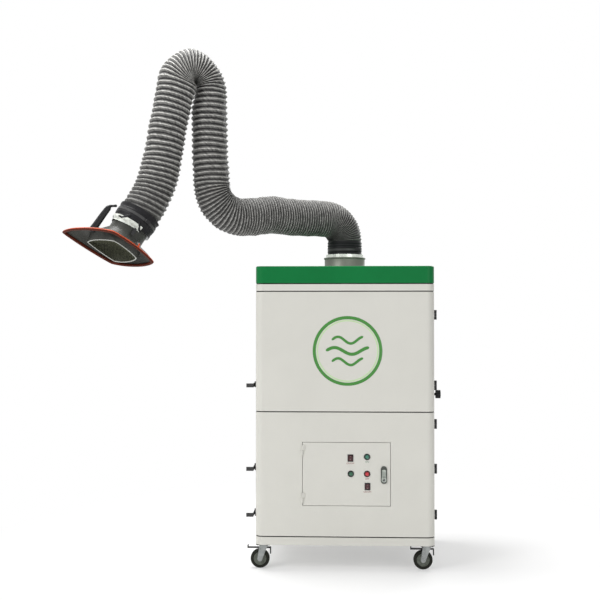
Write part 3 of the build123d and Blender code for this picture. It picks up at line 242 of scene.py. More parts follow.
# Each plain finish: its colour and the share of it used, how far the tone drifts and how many patches it
# drifts in, roughness and its spread, how fine and how deep the grain is, and what else it has
plain_finishes = {
    "cabinet_powder_coat": ("cabinet", 1, 0.03, 5.0, 0.42, 0.05, 620.0, 0.00005, {"specular": 0.25}),
    "lid_powder_coat": ("lid", 1, 0.07, 6.0, 0.36, 0.05, 620.0, 0.00005, {"specular": 0.12}),
    "black_rubber": ("rubber", 1, 0.3, 30.0, 0.5, 0.1, 1400.0, 0.0001, {"specular": 0.12}),
    "black_moulding": ("rubber", 0.8, 0.12, 30.0, 0.34, 0.06, 1800.0, 0.00004, {"specular": 0.22}),
    "black_fitting": ("rubber", 1.03, 0.2, 40.0, 0.4, 0.1, 700.0, 0.00006, {"specular": 0.2, "wear": 0.08}),
    # Rubber darkened as painted shade in the door seams
    "seal_rubber_shaded": ("rubber", 0.4, 0.1, 60.0, 0.6, 0.06, 900.0, 0.00004, {"specular": 0.1}),
    "tyre_rubber": ("tyre", 1, 0.22, 50.0, 0.66, 0.08, 1500.0, 0.0001, {"specular": 0.1}),
    "rim_rubber": ("rim", 1, 0.22, 30.0, 0.5, 0.08, 1200.0, 0.00012, {"specular": 0.2}),
    # Near-black painted shade on the rim's underside and inside
    "rim_rubber_shaded": ("rim", 0.16, 0.3, 30.0, 0.5, 0.08, 1200.0, 0.00012, {"specular": 0.15}),
    "hood_moulding": ("hood", 1, 0.3, 16.0, 0.42, 0.07, 1100.0, 0.00012, {"specular": 0.2}),
    "hub_moulding": ("hub", 1, 0.14, 40.0, 0.45, 0.07, 900.0, 0.00008, {}),
    "zinc_plate": ("zinc", 1, 0.25, 45.0, 0.32, 0.1, 500.0, 0.00005, {"metallic": 0.9, "stretch": (1, 1, 6)}),
    "pale_metal": ("pale_metal", 1, 0.08, 60.0, 0.3, 0.08, 900.0, 0.00003,
                   {"metallic": 0.55, "stretch": (1, 1, 12)}),
    "foil_band": ("pale_metal", 1, 0.45, 75.0, 0.34, 0.1, 160.0, 0.0009, {}),
    "cast_collar": ("collar", 1, 0.16, 25.0, 0.48, 0.08, 420.0, 0.00016, {"metallic": 0.55}),
    "cast_housing": ("zinc", 0.55, 0.25, 30.0, 0.6, 0.08, 380.0, 0.0002, {"metallic": 0.5, "wear": 0.2}),
    "link_enamel": ("zinc", 0.4, 0.15, 20.0, 0.4, 0.06, 700.0, 0.00006, {"metallic": 0.2}),
    "guard_wire": ("guard", 1, 0.2, 40.0, 0.5, 0.08, 900.0, 0.00005, {"specular": 0.2}),
    "guard_trim": ((0.42, 0.43, 0.4), 1, 0.1, 60.0, 0.35, 0.06, 900.0, 0.00003, {"specular": 0.3}),
    "brake_pin_lacquer": ((0.16, 0.05, 0.035), 1, 0.15, 60.0, 0.4, 0.06, 900.0, 0.00003, {"metallic": 0.3}),
    "lock_plating": ("lock", 0.2, 0.15, 60.0, 0.36, 0.06, 900.0, 0.00003, {"metallic": 0.6}),
    "lock_lever_plate": ("lock", 1, 0.12, 60.0, 0.34, 0.06, 900.0, 0.00003, {"metallic": 0.45, "coat": 0.1}),
    # Near-black painted shade for the lever's grip grooves
    "lock_groove_shade": ("lock", 0.12, 0.1, 60.0, 0.5, 0.05, 900.0, 0.00003, {"metallic": 0.3}),
}
paints = {"rocker_red": ("rocker", 0.28), "mark_pale": ((0.34, 0.27, 0.26), 0.35), "sign_paint": ("sign", 0.35),
          "sign_pale_paint": ("sign_pale", 0.35), "caption_red": ((0.22, 0.03, 0.035), 0.35),
          "caption_green": ((0.04, 0.14, 0.08), 0.35)}
# A button's ring is darker, and its middle lighter as a painted glint
button_parts = {"plastic": (1, 0.22, {"coat": 0.3}), "ring": (0.34, 0.3, {}), "middle": (1.5, 0.22, {"coat": 0.3})}
for name, (tone, gloss) in paints.items():
    plain_finishes[name] = (tone, 1, 0.06, 60.0, gloss, 0.04, 1500.0, 0.00003, {"coat": 0.2})
for name in ("start", "reset", "stop"):
    for part, (share, gloss, extra) in button_parts.items():
        plain_finishes[f"button_{name}_{part}"] = (name, share, 0.08, 90.0, gloss, 0.04, 900.0, 0.00002, extra)


def plain(new, tone, share, drift, patches, roughness, spread, grain, depth, extra):
    """A plain finish: slow drift in tone, uneven gloss and a fine grain."""
    slow = new.noise(new.place(), patches, 4.0)
    fine = new.noise(new.place(extra.get("stretch", (1, 1, 1))), grain, 2.0)
    tone = shade(tone, share)
    shown = new.mix(new.span(slow, 0.3, 0.7), shade(tone, 1 - drift), shade(tone, 1 + drift / 3))
    if "wear" in extra:
        shown = new.wear(shown, extra["wear"])
    rough = new.math("ADD", new.span(slow, 0.3, 0.7, roughness - spread, roughness + spread),
                     new.span(fine, 0.3, 0.7, -spread / 2, spread / 2))
    new.set(Metallic=extra.get("metallic", 0.0), Specular_IOR_Level=extra.get("specular", 0.5),
            Coat_Weight=extra.get("coat", 0.0), Coat_Roughness=0.25)
    return new.done(shown, rough, new.bump(fine, depth))


def galvanised_sheet(new):
    """Zinc-dipped sheet with its patchwork of crystals."""
    cells = new.add("TexVoronoi", {"Scale": 70.0, "Randomness": 1.0})
    new.join(new.place(), cells.inputs["Vector"])
    tint = new.add("RGBToBW")
    new.join(cells.outputs["Color"], tint.inputs["Color"])
    shown = new.mix(tint.outputs["Val"], shade("zinc", 0.72), shade("zinc", 1.05))
    rough = new.span(tint.outputs["Val"], 0.0, 1.0, 0.3, 0.5)
    new.set(Metallic=0.85)
    return new.done(shown, rough, new.bump(new.noise(new.place(), 300.0), 0.00004))


def filter_paper(new):
    """Pleated paper: soft fibres and faint patches of dust."""
    fibres = new.noise(new.place((1, 1, 0.2)), 800.0, 6.0, 0.7)
    dust = new.noise(new.place(), 14.0, 4.0)
    shown = new.mix(new.span(dust, 0.45, 0.75), (0.82, 0.8, 0.74, 1), (0.6, 0.57, 0.5, 1))
    new.set(Sheen_Weight=0.3, Sheen_Roughness=0.6)
    return new.done(shown, new.span(fibres, 0.2, 0.8, 0.8, 0.95), new.bump(fibres, 0.0003))


# Painted shade along the hose, where its runs turn from the light: the ribs, counted from its base, between which
# it sets in, and how strong it is
painted_shade_spans = ((20.0, 1.0, 0.55), (82.0, 70.0, 0.36), (98.0, 90.0, 0.12), (116.0, 124.0, 0.14),
               (130.0, 140.0, 0.55))


def hose_cloth(new):
    """Coated cloth over a wire helix: the piece's own UV counts the ribs along v."""
    parts = new.add("SeparateXYZ")
    new.join(new.add("TexCoord").outputs["UV"], parts.inputs["Vector"])
    round_hose, ribs = parts.outputs["X"], parts.outputs["Y"]
    from_wire = new.math("PINGPONG", ribs, 0.5)
    patches = new.noise(new.place(), 26.0, 4.0)
    fine = new.noise(new.place(), 240.0, 3.0)
    slanted = new.add("CombineXYZ")
    new.join(new.math("ADD", new.math("MULTIPLY", round_hose, 46.0), new.math("MULTIPLY", ribs, 2.4)),
             slanted.inputs["X"])
    new.join(new.math("MULTIPLY", ribs, 0.9), slanted.inputs["Y"])
    creases = new.noise(slanted.outputs["Vector"], 1.0, 3.0, 0.6)
    unsure = new.math("ADD", from_wire, new.span(fine, 0.3, 0.7, -0.03, 0.03))
    body = new.mix(new.span(patches, 0.3, 0.72), shade("hose", 0.78), shade("hose", 1.08))
    # the slanting creases darken the cloth as painted shade
    body = new.mix(new.span(creases, 0.45, 0.6, 0.0, 0.8), body, shade("hose", 0.3))
    # the bottom of each fold between two wires is painted shade
    folded = new.mix(new.span(unsure, 0.18, 0.46), body, colour("hose_fold_shade"))
    # each wire crest is a near-white painted highlight, dimmed where creases cross it
    wire = new.mix(new.span(creases, 0.35, 0.6), colour("hose_wire"), shade("hose_wire", 0.6))
    shown = new.mix(new.span(unsure, 0.03, 0.085), wire, folded)
    # darken runs of ribs towards near-black as painted shade
    for shade_from, shade_full, strength in painted_shade_spans:
        shown = new.mix(new.span(ribs, shade_from, shade_full, 0.0, strength), shown, shade("hose", 0.12))
    weave = new.math("SINE", new.math("MULTIPLY", round_hose, 210 * math.tau))
    rumples = new.math("MULTIPLY", new.noise(new.place(), 110.0, 5.0, 0.6), 0.6)
    creased = new.bump(new.math("ADD", creases, rumples), 0.0022)
    new.set(Sheen_Weight=0.06, Sheen_Roughness=0.5, Specular_IOR_Level=0.16)
    return new.done(shown, new.span(patches, 0.3, 0.7, 0.42, 0.6), new.bump(weave, 0.00008, creased))


special_finishes = {"galvanised_sheet": galvanised_sheet, "filter_paper": filter_paper, "hose_cloth": hose_cloth}
made = {}


def finish(name):
    """A finish by its name, made at its first use."""
    if name not in made:
        new = Finish(name)
        made[name] = special_finishes[name](new) if name in special_finishes else plain(new, *plain_finishes[name])
    return made[name]


# Shaping helpers

merge_distance, seam_distance = 0.000005, 0.000004


def deselect():
    if bpy.context.object and bpy.context.object.mode != "OBJECT":
        bpy.ops.object.mode_set(mode="OBJECT")
    bpy.ops.object.select_all(action="DESELECT")


def pick(obj):
    deselect()
    obj.select_set(True)
    bpy.context.view_layer.objects.active = obj


def edit_all():
    bpy.ops.object.mode_set(mode="EDIT")
    bpy.ops.mesh.select_all(action="SELECT")


def close_seams(distance):
    """Merge the doubles of the active mesh and turn its faces outwards."""
    edit_all()
    bpy.ops.mesh.remove_doubles(threshold=distance)
    bpy.ops.mesh.normals_make_consistent(inside=False)
    bpy.ops.object.mode_set(mode="OBJECT")
    return bpy.context.object


def apply_modifier(obj, kind, **settings):
    pick(obj)
    modifier = obj.modifiers.new(kind.lower(), kind)
    for key, value in settings.items():
        setattr(modifier, key, value)
    bpy.ops.object.modifier_apply(modifier=modifier.name)


def soften(obj, width, angle=35, segments=2):
    """Round the edges that turn sharper than an angle."""
    apply_modifier(obj, "BEVEL", width=width, segments=segments, limit_method="ANGLE",
                   angle_limit=math.radians(angle), use_clamp_overlap=False, harden_normals=False)


def settle(obj, name, body, material, replaced=(), angle=32):
    """Apply the piece's place, name, finish and body. Edges past the angle stay sharp."""
    pick(obj)
    if not obj.data.polygons:
        raise RuntimeError(name + " has no faces")
    bpy.ops.object.transform_apply(location=True, rotation=True, scale=True)
    obj.name = obj.data.name = name
    obj.data.materials.clear()
    obj.data.materials.append(finish(material))
    bpy.ops.object.shade_smooth_by_angle(angle=math.radians(angle))
    if body:
        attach(obj, body)
    if replaced:
        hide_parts(*replaced)
    return obj


def paint_faces(obj, material, test):
    """Give the faces that a test picks, by centre and normal, a finish of their own."""
    obj.data.materials.append(finish(material))
    index = len(obj.data.materials) - 1
    for face in obj.data.polygons:
        if test(face.center, face.normal):
            face.material_index = index


def dressed(node, material, width=None):
    """A copy of a CAD node with its flats merged and its edges rounded, in the node's place.
    Edges that touching plates of one node share are parted, so each plate keeps its own shading."""
    source = frame["nodes"][node]
    obj = bpy.data.objects.new(node + "_dressed", source.data.copy())
    bpy.context.collection.objects.link(obj)
    pick(obj)
    if obj.data.has_custom_normals:
        bpy.ops.mesh.customdata_custom_splitnormals_clear()
    edit_all()
    bpy.ops.mesh.remove_doubles(threshold=merge_distance)
    bpy.ops.mesh.select_all(action="DESELECT")
    bpy.ops.mesh.select_mode(type="EDGE")
    bpy.ops.mesh.select_non_manifold(extend=False, use_wire=False, use_boundary=False, use_multi_face=True,
                                     use_non_contiguous=False, use_verts=False)
    bpy.ops.mesh.edge_split(type="EDGE")
    bpy.ops.mesh.select_all(action="SELECT")
    bpy.ops.mesh.dissolve_limited(angle_limit=math.radians(0.4))
    bpy.ops.object.mode_set(mode="OBJECT")
    soften(obj, width or sizes().edge)
    settle(obj, node + "_dressed", source["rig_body"], material, (node,))
    apply_modifier(obj, "WEIGHTED_NORMAL", keep_sharp=True)
    return obj


def spun(profile, centre, axis=up, steps=96):
    """Turn a closed section of (radius, height) points about an axis, as a ring or a solid."""
    axis = Vector(axis).normalized()
    aside = axis.orthogonal().normalized()
    deselect()
    bpy.ops.mesh.primitive_circle_add(vertices=len(profile), radius=1)
    for vertex, (radius, height) in zip(bpy.context.object.data.vertices, profile):
        vertex.co = Vector(centre) + aside * radius + axis * height
    edit_all()
    bpy.ops.mesh.spin(steps=steps, angle=math.tau, center=centre, axis=axis)
    bpy.ops.object.mode_set(mode="OBJECT")
    return close_seams(merge_distance)


def rolled(rows, columns, place, ring=False, mark=None):
    """Lay a grid out by a function of row and share of the way round, and close its seam."""
    deselect()
    bpy.ops.mesh.primitive_grid_add(x_subdivisions=columns, y_subdivisions=rows, size=1)
    mesh = bpy.context.object.data
    cells = [(round((vertex.co.y + 0.5) * rows), vertex.co.x + 0.5) for vertex in mesh.vertices]
    if mark:
        uv = mesh.uv_layers.active.data
        for loop in mesh.loops:
            uv[loop.index].uv = mark(*cells[loop.vertex_index])
    for vertex, (row, share) in zip(mesh.vertices, cells):
        vertex.co = place(row % rows if ring else row, share)
    return close_seams(seam_distance)


def slab(outline, origin, across, outward, thickness, edge=0.0):
    """A flat piece: a closed outline filled, pushed out along a normal, and its edges rounded."""
    across, outward = Vector(across).normalized(), Vector(outward).normalized()
    upward = outward.cross(across)
    deselect()
    bpy.ops.mesh.primitive_circle_add(vertices=len(outline), radius=1, fill_type="NGON")
    obj = bpy.context.object
    for vertex, (x, y) in zip(obj.data.vertices, outline):
        vertex.co = Vector(origin) + across * x + upward * y
    edit_all()
    bpy.ops.mesh.extrude_region_move(TRANSFORM_OT_translate={"value": outward * thickness})
    bpy.ops.mesh.select_all(action="SELECT")
    bpy.ops.mesh.normals_make_consistent(inside=False)
    bpy.ops.object.mode_set(mode="OBJECT")
    if edge:
        soften(obj, edge, 40, 3)
    return obj


def rounded(half_x, half_y, radius, steps=6):
    """Corners of a rounded rectangle's outline."""
    points = []
    for quarter, (sign_x, sign_y) in enumerate(((1, 1), (-1, 1), (-1, -1), (1, -1))):
        for step in range(steps + 1):
            turn = math.tau * (quarter + step / steps) / 4
            points.append((sign_x * (half_x - radius) + radius * math.cos(turn),
                           sign_y * (half_y - radius) + radius * math.sin(turn)))
    return points


def joined(objects):
    """Several pieces made one mesh."""
    pick(objects[0])
    for obj in objects:
        obj.select_set(True)
    bpy.ops.object.join()
    return bpy.context.object


def screw(place, outward, radius=0.004, steps=20):
    """A domed screw head with a recess."""
    section = [(0, -0.3), (1, -0.3), (1, 0.1), (0.86, 0.38), (0.55, 0.56), (0.38, 0.58), (0.3, 0.2), (0, 0.2)]
    return spun([(r * radius, h * radius) for r, h in section], place, outward, steps)


def round_at(centre, across, aside, share, radius):
    """A point of a circle, by its share of the way round."""
    turn = math.tau * share
    return centre + (across * math.cos(turn) + aside * math.sin(turn)) * radius


def lumps(reach, turn, height):
    """Noise that closes on itself round a piece: how coarse it is, the turn, and how far along."""
    return noise.noise(Vector((reach * math.cos(turn), reach * math.sin(turn), height)))


def tube(path, radii, sides=24, rings=40):
    """A round bar along a smooth path through given points, its ends rounded."""
    def at(values, share):
        spot = share * (len(values) - 1)
        i = min(int(spot), len(values) - 2)
        t = spot - i
        a, b = values[i], values[i + 1]
        before = values[i - 1] if i else a - (b - a)
        after = values[i + 2] if i + 2 < len(values) else b + (b - a)
        return 0.5 * ((2 * a) + (b - before) * t + (2 * before - 5 * a + 4 * b - after) * t * t
                      + (3 * a - before - 3 * b + after) * t ** 3)

    cap = 4

    def place(row, share):
        along = min(max(row - cap, 0), rings) / rings
        heading = (at(path, min(along + 0.01, 1)) - at(path, max(along - 0.01, 0))).normalized()
        side = heading.cross(arm_pin).normalized()
        radius = at(radii, along)
        past = row - cap if row < cap else row - cap - rings if row > cap + rings else 0
        tilt = past / cap * math.pi / 2
        centre = at(path, along) + heading * radius * math.sin(tilt)
        turn = math.tau * share
        return centre + (side * math.cos(turn) + arm_pin * math.sin(turn)) * radius * math.cos(tilt)

    return rolled(rings + 2 * cap, sides, place)


# The hose's line: straight runs and bends in the arm's plane, from the swivel ring to the hood


def in_plane(point):
    """Reach and height of a place in the arm's plane."""
    return Vector((point.dot(arm_out), point.z))


def arm_at(reach, height, aside=0.0):
    return arm_out * reach + up * height + arm_pin * aside


class HoseLine:
    """Where the hose's middle runs, by length from its base, and how its ribs are spaced."""

    def __init__(self):
        size = sizes()
        quarter = math.pi / 2
        lift = shoulder_at.z - size.shoulder_bend - hose_start
        knee, crown = in_plane(knee_at), in_plane(elbow_at)
        level = knee.x - size.shoulder_bend - size.knee_bend
        upright = crown.y - size.crown_bend - knee.y - size.knee_bend
        # Length, turn and ribs of each run
        self.runs = [(lift, 0, 5), (size.shoulder_bend * quarter, -quarter, 18), (level, 0, 37),
                     (size.knee_bend * quarter, quarter, 16), (upright, 0, 17),
                     (size.crown_bend * size.crown_turn, -size.crown_turn, 22), (size.fore_length, 0, 14),
                     (size.wrist_bend * size.wrist_turn, size.wrist_turn, 11), (size.wrist_run, 0, 4)]
        self.ends = [0.0]
        self.starts = [(Vector((0, hose_start)), quarter)]
        self.rib_ends = [0]
        for length, turn, ribs in self.runs:
            self.starts.append(self.step(len(self.ends) - 1, length))
            self.ends.append(self.ends[-1] + length)
            self.rib_ends.append(self.rib_ends[-1] + ribs)
        self.length, self.ribs = self.ends[-1], self.rib_ends[-1]

    def step(self, index, along):
        """Place and heading a length along one run."""
        length, turn, ribs = self.runs[index]
        spot, heading = self.starts[index]
        ahead = Vector((math.cos(heading), math.sin(heading)))
        if not turn:
            return spot + ahead * along, heading
        side = Vector((-ahead.y, ahead.x)) * (1 if turn > 0 else -1)
        swept = along / length * turn
        centre = spot + side * (length / abs(turn))
        arm = spot - centre
        turned = Vector((arm.x * math.cos(swept) - arm.y * math.sin(swept),
                         arm.x * math.sin(swept) + arm.y * math.cos(swept)))
        return centre + turned, heading + swept

    def run_of(self, value, ends):
        """The run that holds a length or a rib."""
        return next((i for i in range(len(self.runs)) if value <= ends[i + 1]), len(self.runs) - 1)

    def at(self, along):
        index = self.run_of(along, self.ends)
        return self.step(index, along - self.ends[index])

    def rib_length(self, rib):
        """Length at a rib count, averaged over nearby ribs so that the spacing changes gently."""
        total, spread, samples = 0.0, 1.6, 9
        for i in range(samples):
            spot = rib + spread * (i - 4) / 4
            mirror = 0.0
            if spot < 0:
                spot, mirror = -spot, -1
            elif spot > self.ribs:
                spot, mirror = 2 * self.ribs - spot, 1
            index = self.run_of(spot, self.rib_ends)
            low, high = self.rib_ends[index], self.rib_ends[index + 1]
            share = (spot - low) / (high - low)
            value = self.ends[index] + share * (self.ends[index + 1] - self.ends[index])
            total += -value if mirror < 0 else 2 * self.length - value if mirror > 0 else value
        return total / samples


# Against length along the hose: crest radius, share of the fold depth, crumpling, how far the middle strays
# from its line, how far the ribs lean, and how far the bend's inner side is pushed over
crest_table = [(0.0, 0.0665), (0.05, 0.0668), (0.062, 0.0715), (0.09, 0.073), (0.2, 0.0742), (0.29, 0.0748),
               (0.4375, 0.0755), (0.5, 0.0762), (0.6, 0.0745), (0.7, 0.073), (0.85, 0.0728), (1.0, 0.072),
               (1.1, 0.0712), (1.2, 0.0722), (1.29, 0.0735), (1.36, 0.0722), (1.5, 0.0735), (1.65, 0.0755),
               (1.8, 0.0782), (1.9, 0.0785), (1.93, 0.0765), (1.943, 0.0745), (1.998, 0.0735)]
depth_table = [(0.0, 0.0), (0.05, 0.0), (0.065, 0.55), (0.2, 0.7), (0.3, 0.6), (0.6, 0.65), (0.7, 0.8), (0.9, 1.0),
               (1.15, 1.0), (1.25, 0.75), (1.35, 0.75), (1.5, 1.0), (1.85, 1.0), (1.93, 0.6), (1.95, 0.2),
               (1.998, 0.0)]
crumple_table = [(0.0, 0.0), (0.06, 0.1), (0.2, 0.6), (0.3, 1.3), (0.6, 1.3), (0.75, 0.8), (0.9, 0.8), (1.15, 0.8),
                 (1.3, 0.5), (1.5, 0.9), (1.9, 1.1), (1.94, 0.0), (1.998, 0.0)]
stray_table = [(0.0, 0.0), (0.28, 0.0), (0.37, 0.001), (0.4375, 0.0068), (0.49, 0.0), (0.525, -0.0065),
               (0.583, -0.0095), (0.64, -0.003), (0.69, 0.003), (0.77, 0.009), (0.82, 0.008), (0.9, 0.002),
               (1.0, 0.0), (1.12, -0.002), (1.22, -0.013), (1.282, -0.005), (1.345, -0.019), (1.42, -0.021),
               (1.497, -0.017), (1.61, -0.008), (1.74, 0.0), (1.998, 0.0)]
lean_table = [(0.0, 0.0), (0.85, 0.0), (0.95, 0.09), (1.12, 0.07), (1.24, 0.1), (1.34, 0.22), (1.45, 0.2),
              (1.6, 0.17), (1.72, 0.06), (1.82, -0.08), (1.93, -0.16), (1.95, 0.0), (1.998, 0.0)]
push_table = [(0.0, 0.0), (1.06, 0.0), (1.17, -0.02), (1.24, -0.026), (1.3, -0.004), (1.36, 0.014), (1.42, 0.01),
              (1.5, 0.002), (1.56, 0.0), (1.998, 0.0)]
# The fold between two wires: where each row of a rib stands, as a share of the rib, and how deep
rib_phases = [0.0, 0.06, 0.13, 0.3, 0.5, 0.7, 0.87, 0.94]
rib_drops = [0.0, 0.1, 0.42, 0.9, 1.0, 0.78, 0.26, 0.06]
rows_per_rib = 8
wander_depth, lump_depth, lean_arm = 0.0016, 0.0022, 0.072


def read_table(table, value):
    for (x0, y0), (x1, y1) in zip(table, table[1:]):
        if value <= x1:
            share = min(max((value - x0) / (x1 - x0), 0), 1)
            return y0 + (y1 - y0) * share * share * (3 - 2 * share)
    return table[-1][1]


def rib_place(row):
    return row // rows_per_rib + rib_phases[row % rows_per_rib]


def hose_point(line, row, share):
    """A point of the cloth: rows count eight to a rib, and a rib climbs by one each turn, as a helix."""
    size = sizes()
    turn = math.tau * share
    phase, drop = rib_phases[row % rows_per_rib], rib_drops[row % rows_per_rib]
    count = rib_place(row) + share
    along = line.rib_length(count)
    crumple = read_table(crumple_table, along)
    wander = noise.noise(Vector((count * 0.31, 4.1, 0.7 * math.cos(turn))))
    ripple = noise.noise(Vector((count * 0.83, 1.7 * math.cos(turn), 1.7 * math.sin(turn))))
    along += wander_depth * crumple * ripple
    along -= read_table(lean_table, along) * lean_arm * math.cos(turn)
    along = min(max(along, 0.0), line.length)
    radius = read_table(crest_table, along) - size.fold_depth * read_table(depth_table, along) * drop
    rib_turn = row // rows_per_rib + share
    crease = math.sin(11 * turn + 2.4 * math.pi * phase + 1.9 * rib_turn)
    crease *= 0.6 + 0.8 * lumps(2.3, turn, rib_turn * 0.9)
    fine = lumps(6.5, turn, count * 1.7)
    radius += (size.crease_depth * (drop * crumple) * (crease + 0.9 * fine)
               + lump_depth * crumple * lumps(1.1, turn, count * 0.16))
    radius += read_table(push_table, along) * max(0.0, -math.cos(turn)) ** 1.5
    spot, heading = line.at(along)
    side = Vector((-math.sin(heading), math.cos(heading)))
    out = side * (radius * math.cos(turn) + read_table(stray_table, along))
    return arm_at(spot.x + out.x, spot.y + out.y + wander_depth * crumple * wander, radius * math.sin(turn))


# Each length of hose: name, where it starts and ends, the bodies it spans, at a bend the joint with a direction
# and a start and end past it, and the CAD nodes it stands for
hose_lengths = [
    ("hose_base_bend", 0.0, 0.2875, ("arm_base", "lower_arm"), (shoulder_at, 45, -0.012, 0.073), ["hose_shoulder"]),
    ("hose_level_run", 0.2875, 0.5375, ("lower_arm",), None, ["hose_lower"]),
    ("hose_knee_bend", 0.5375, 0.8529, ("lower_arm", "middle_arm"), (knee_at, 45, -0.075, 0.075), ["hose_knee"]),
    ("hose_upright_run", 0.8529, 1.0269, ("middle_arm",), None, ["hose_middle"]),
    ("hose_crown_rise", 1.0269, 1.2867, ("middle_arm", "elbow_bracket"), (elbow_at, 70, -0.175, -0.0415),
     ["hose_crown"]),
    ("hose_crown_fall", 1.2867, 1.5372, ("elbow_bracket", "fore_arm"), (follow_at, -70, 0.0445, 0.1666), []),
    ("hose_falling_run", 1.5372, 1.6397, ("fore_arm",), None, ["hose_fore"]),
    ("hose_wrist_bend", 1.6397, 2.0, ("fore_arm", "wrist"), (wrist_at, -69.75, -0.15, 0.09), ["hose_wrist"]),
]


class EXTRACTOR_OT_hose(bpy.types.Operator):
    """Lay the ribbed hose along the arm, in lengths that bend at the joints"""
    bl_idname = "extractor.hose"
    bl_label = "Hose"

    def execute(self, context):
        line = HoseLine()
        last_row = (line.ribs - 1) * rows_per_rib

        def row_at(along):
            return min(range(last_row + 1), key=lambda k: abs(line.rib_length(k / rows_per_rib + 0.5) - along))

        for name, low, high, bodies, zone, nodes in hose_lengths:
            first = row_at(low) if low else 0
            last = row_at(high) if high < line.length else last_row
            obj = rolled(last - first, sizes().columns, lambda row, share: hose_point(line, first + row, share),
                         mark=lambda row, share: (share, rib_place(first + row)))
            settle(obj, name, None, "hose_cloth", angle=75)
            if zone:
                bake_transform(obj)
            else:
                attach(obj, bodies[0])
            if nodes:
                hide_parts(*nodes)
        return {"FINISHED"}


# Cuffs and collar

# The mouth's own directions: out of it, along it and across it
mouth_face = Vector((-0.280, -0.469, -0.837)).normalized()
mouth_long = Vector((0.948, 0.0, -0.3171)).normalized()
mouth_wide = mouth_face.cross(mouth_long)


def hose_clamp(centre, axis, radius, screw_side):
    """A steel band with its worm screw housing."""
    axis, centre = Vector(axis).normalized(), Vector(centre)
    side = (Vector(screw_side) - axis * axis.dot(Vector(screw_side))).normalized()
    tangent = axis.cross(side)
    width, thick, edge_width = 0.0055, 0.0009, 0.0055 * 0.86
    band = spun([(radius, -width), (radius + thick, -edge_width), (radius + thick, edge_width), (radius, width),
                 (radius - thick, 0)], centre, axis, 72)
    housing = slab(rounded(0.011, 0.0068, 0.002), centre + side * radius, tangent, side, 0.0062, 0.001)
    head = screw(centre + side * (radius + 0.0035) + tangent * 0.0108, tangent, 0.0038, 16)
    return joined([band, housing, head])


class EXTRACTOR_OT_collar(bpy.types.Operator):
    """Turn the lid's collar, the swivel ring's trim and the ridged base cuff"""
    bl_idname = "extractor.collar"
    bl_label = "Collar and base cuff"

    def execute(self, context):
        low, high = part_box("collar")
        lid_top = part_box("lid_cover")[1].z
        self.collar(low.z, lid_top, high.z, high.x)
        dressed("swivel_ring", "pale_metal", 0.0006)
        low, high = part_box("base_cuff")
        self.base_cuff(low.z, high.z - low.z)
        return {"FINISHED"}

    def collar(self, foot, lid_top, top, flange):
        """A tube with a screwed flange on the lid and a rolled lip."""
        outer, inner, flange_top, lip = 0.084, 0.078, lid_top + 0.003, 0.003
        section = [(inner, foot), (outer, foot), (outer, lid_top), (flange - 0.0008, lid_top),
                   (flange, lid_top + 0.0008), (flange, lid_top + 0.0022), (flange - 0.0009, flange_top),
                   (outer + 0.004, flange_top), (outer + 0.0012, lid_top + 0.0042), (outer, lid_top + 0.007),
                   (outer, top - 0.0066), (outer + 0.0022, top - 0.006), (outer + lip, top - 0.0045),
                   (outer + lip, top - 0.001), (outer + 0.002, top), (inner + 0.0008, top), (inner, top - 0.0008)]
        ring = spun(section, (0, 0, 0), up, 128)
        settle(ring, "lid_collar", "cabinet", "cast_collar", ["collar"])
        radius = (outer + flange) / 2 + 0.0015
        middle = Vector((0, 0, flange_top))
        heads = [screw(round_at(middle, right, back, (i + 0.5) / 8, radius), up, 0.0042) for i in range(8)]
        settle(joined(heads), "collar_screws", "cabinet", "zinc_plate")

    def base_cuff(self, foot, length):
        """A sleeve with four ridges and a hem that dips on one side, and its clamp."""
        inner, outer = 0.0672, 0.07
        hem_reach, hem_dip = length * 0.4, 0.0105
        section = [(inner, 0.0), (outer + 0.0014, 0.0), (outer + 0.0022, 0.0016), (outer + 0.0022, 0.0042),
                   (outer + 0.0006, 0.0058)]
        for share in (0.26, 0.46, 0.66, 0.86):
            z = length * share
            section += [(outer - 0.0002, z - 0.0036), (outer + 0.0014, z - 0.0017), (outer + 0.002, z),
                        (outer + 0.0014, z + 0.0017)]
        section += [(outer, length - 0.002), (outer - 0.0008, length), (inner, length)]
        cuff = spun(section, (0, 0, foot), up, 112)
        for vertex in cuff.data.vertices:
            lowness = max(0.0, 1 - (vertex.co.z - foot) / hem_reach)
            vertex.co.z -= hem_dip * lowness * (0.5 - 0.5 * vertex.co.x / outer)
        settle(cuff, "base_cuff_ridged", "arm_base", "black_rubber", ["base_cuff"])
        clamp = hose_clamp((0, 0, foot + length * 0.36), up, outer + 0.0005, (0.75, -0.66, 0))
        settle(clamp, "base_cuff_clamp", "arm_base", "black_fitting")


def neck_frame():
    """Start of the hose's straight end, the neck's direction, and two directions across it."""
    spot, heading = HoseLine().starts[-2]
    down = arm_at(math.cos(heading), math.sin(heading))
    across = (mouth_long - down * mouth_long.dot(down)).normalized()
    return arm_at(*spot), down, across, down.cross(across)


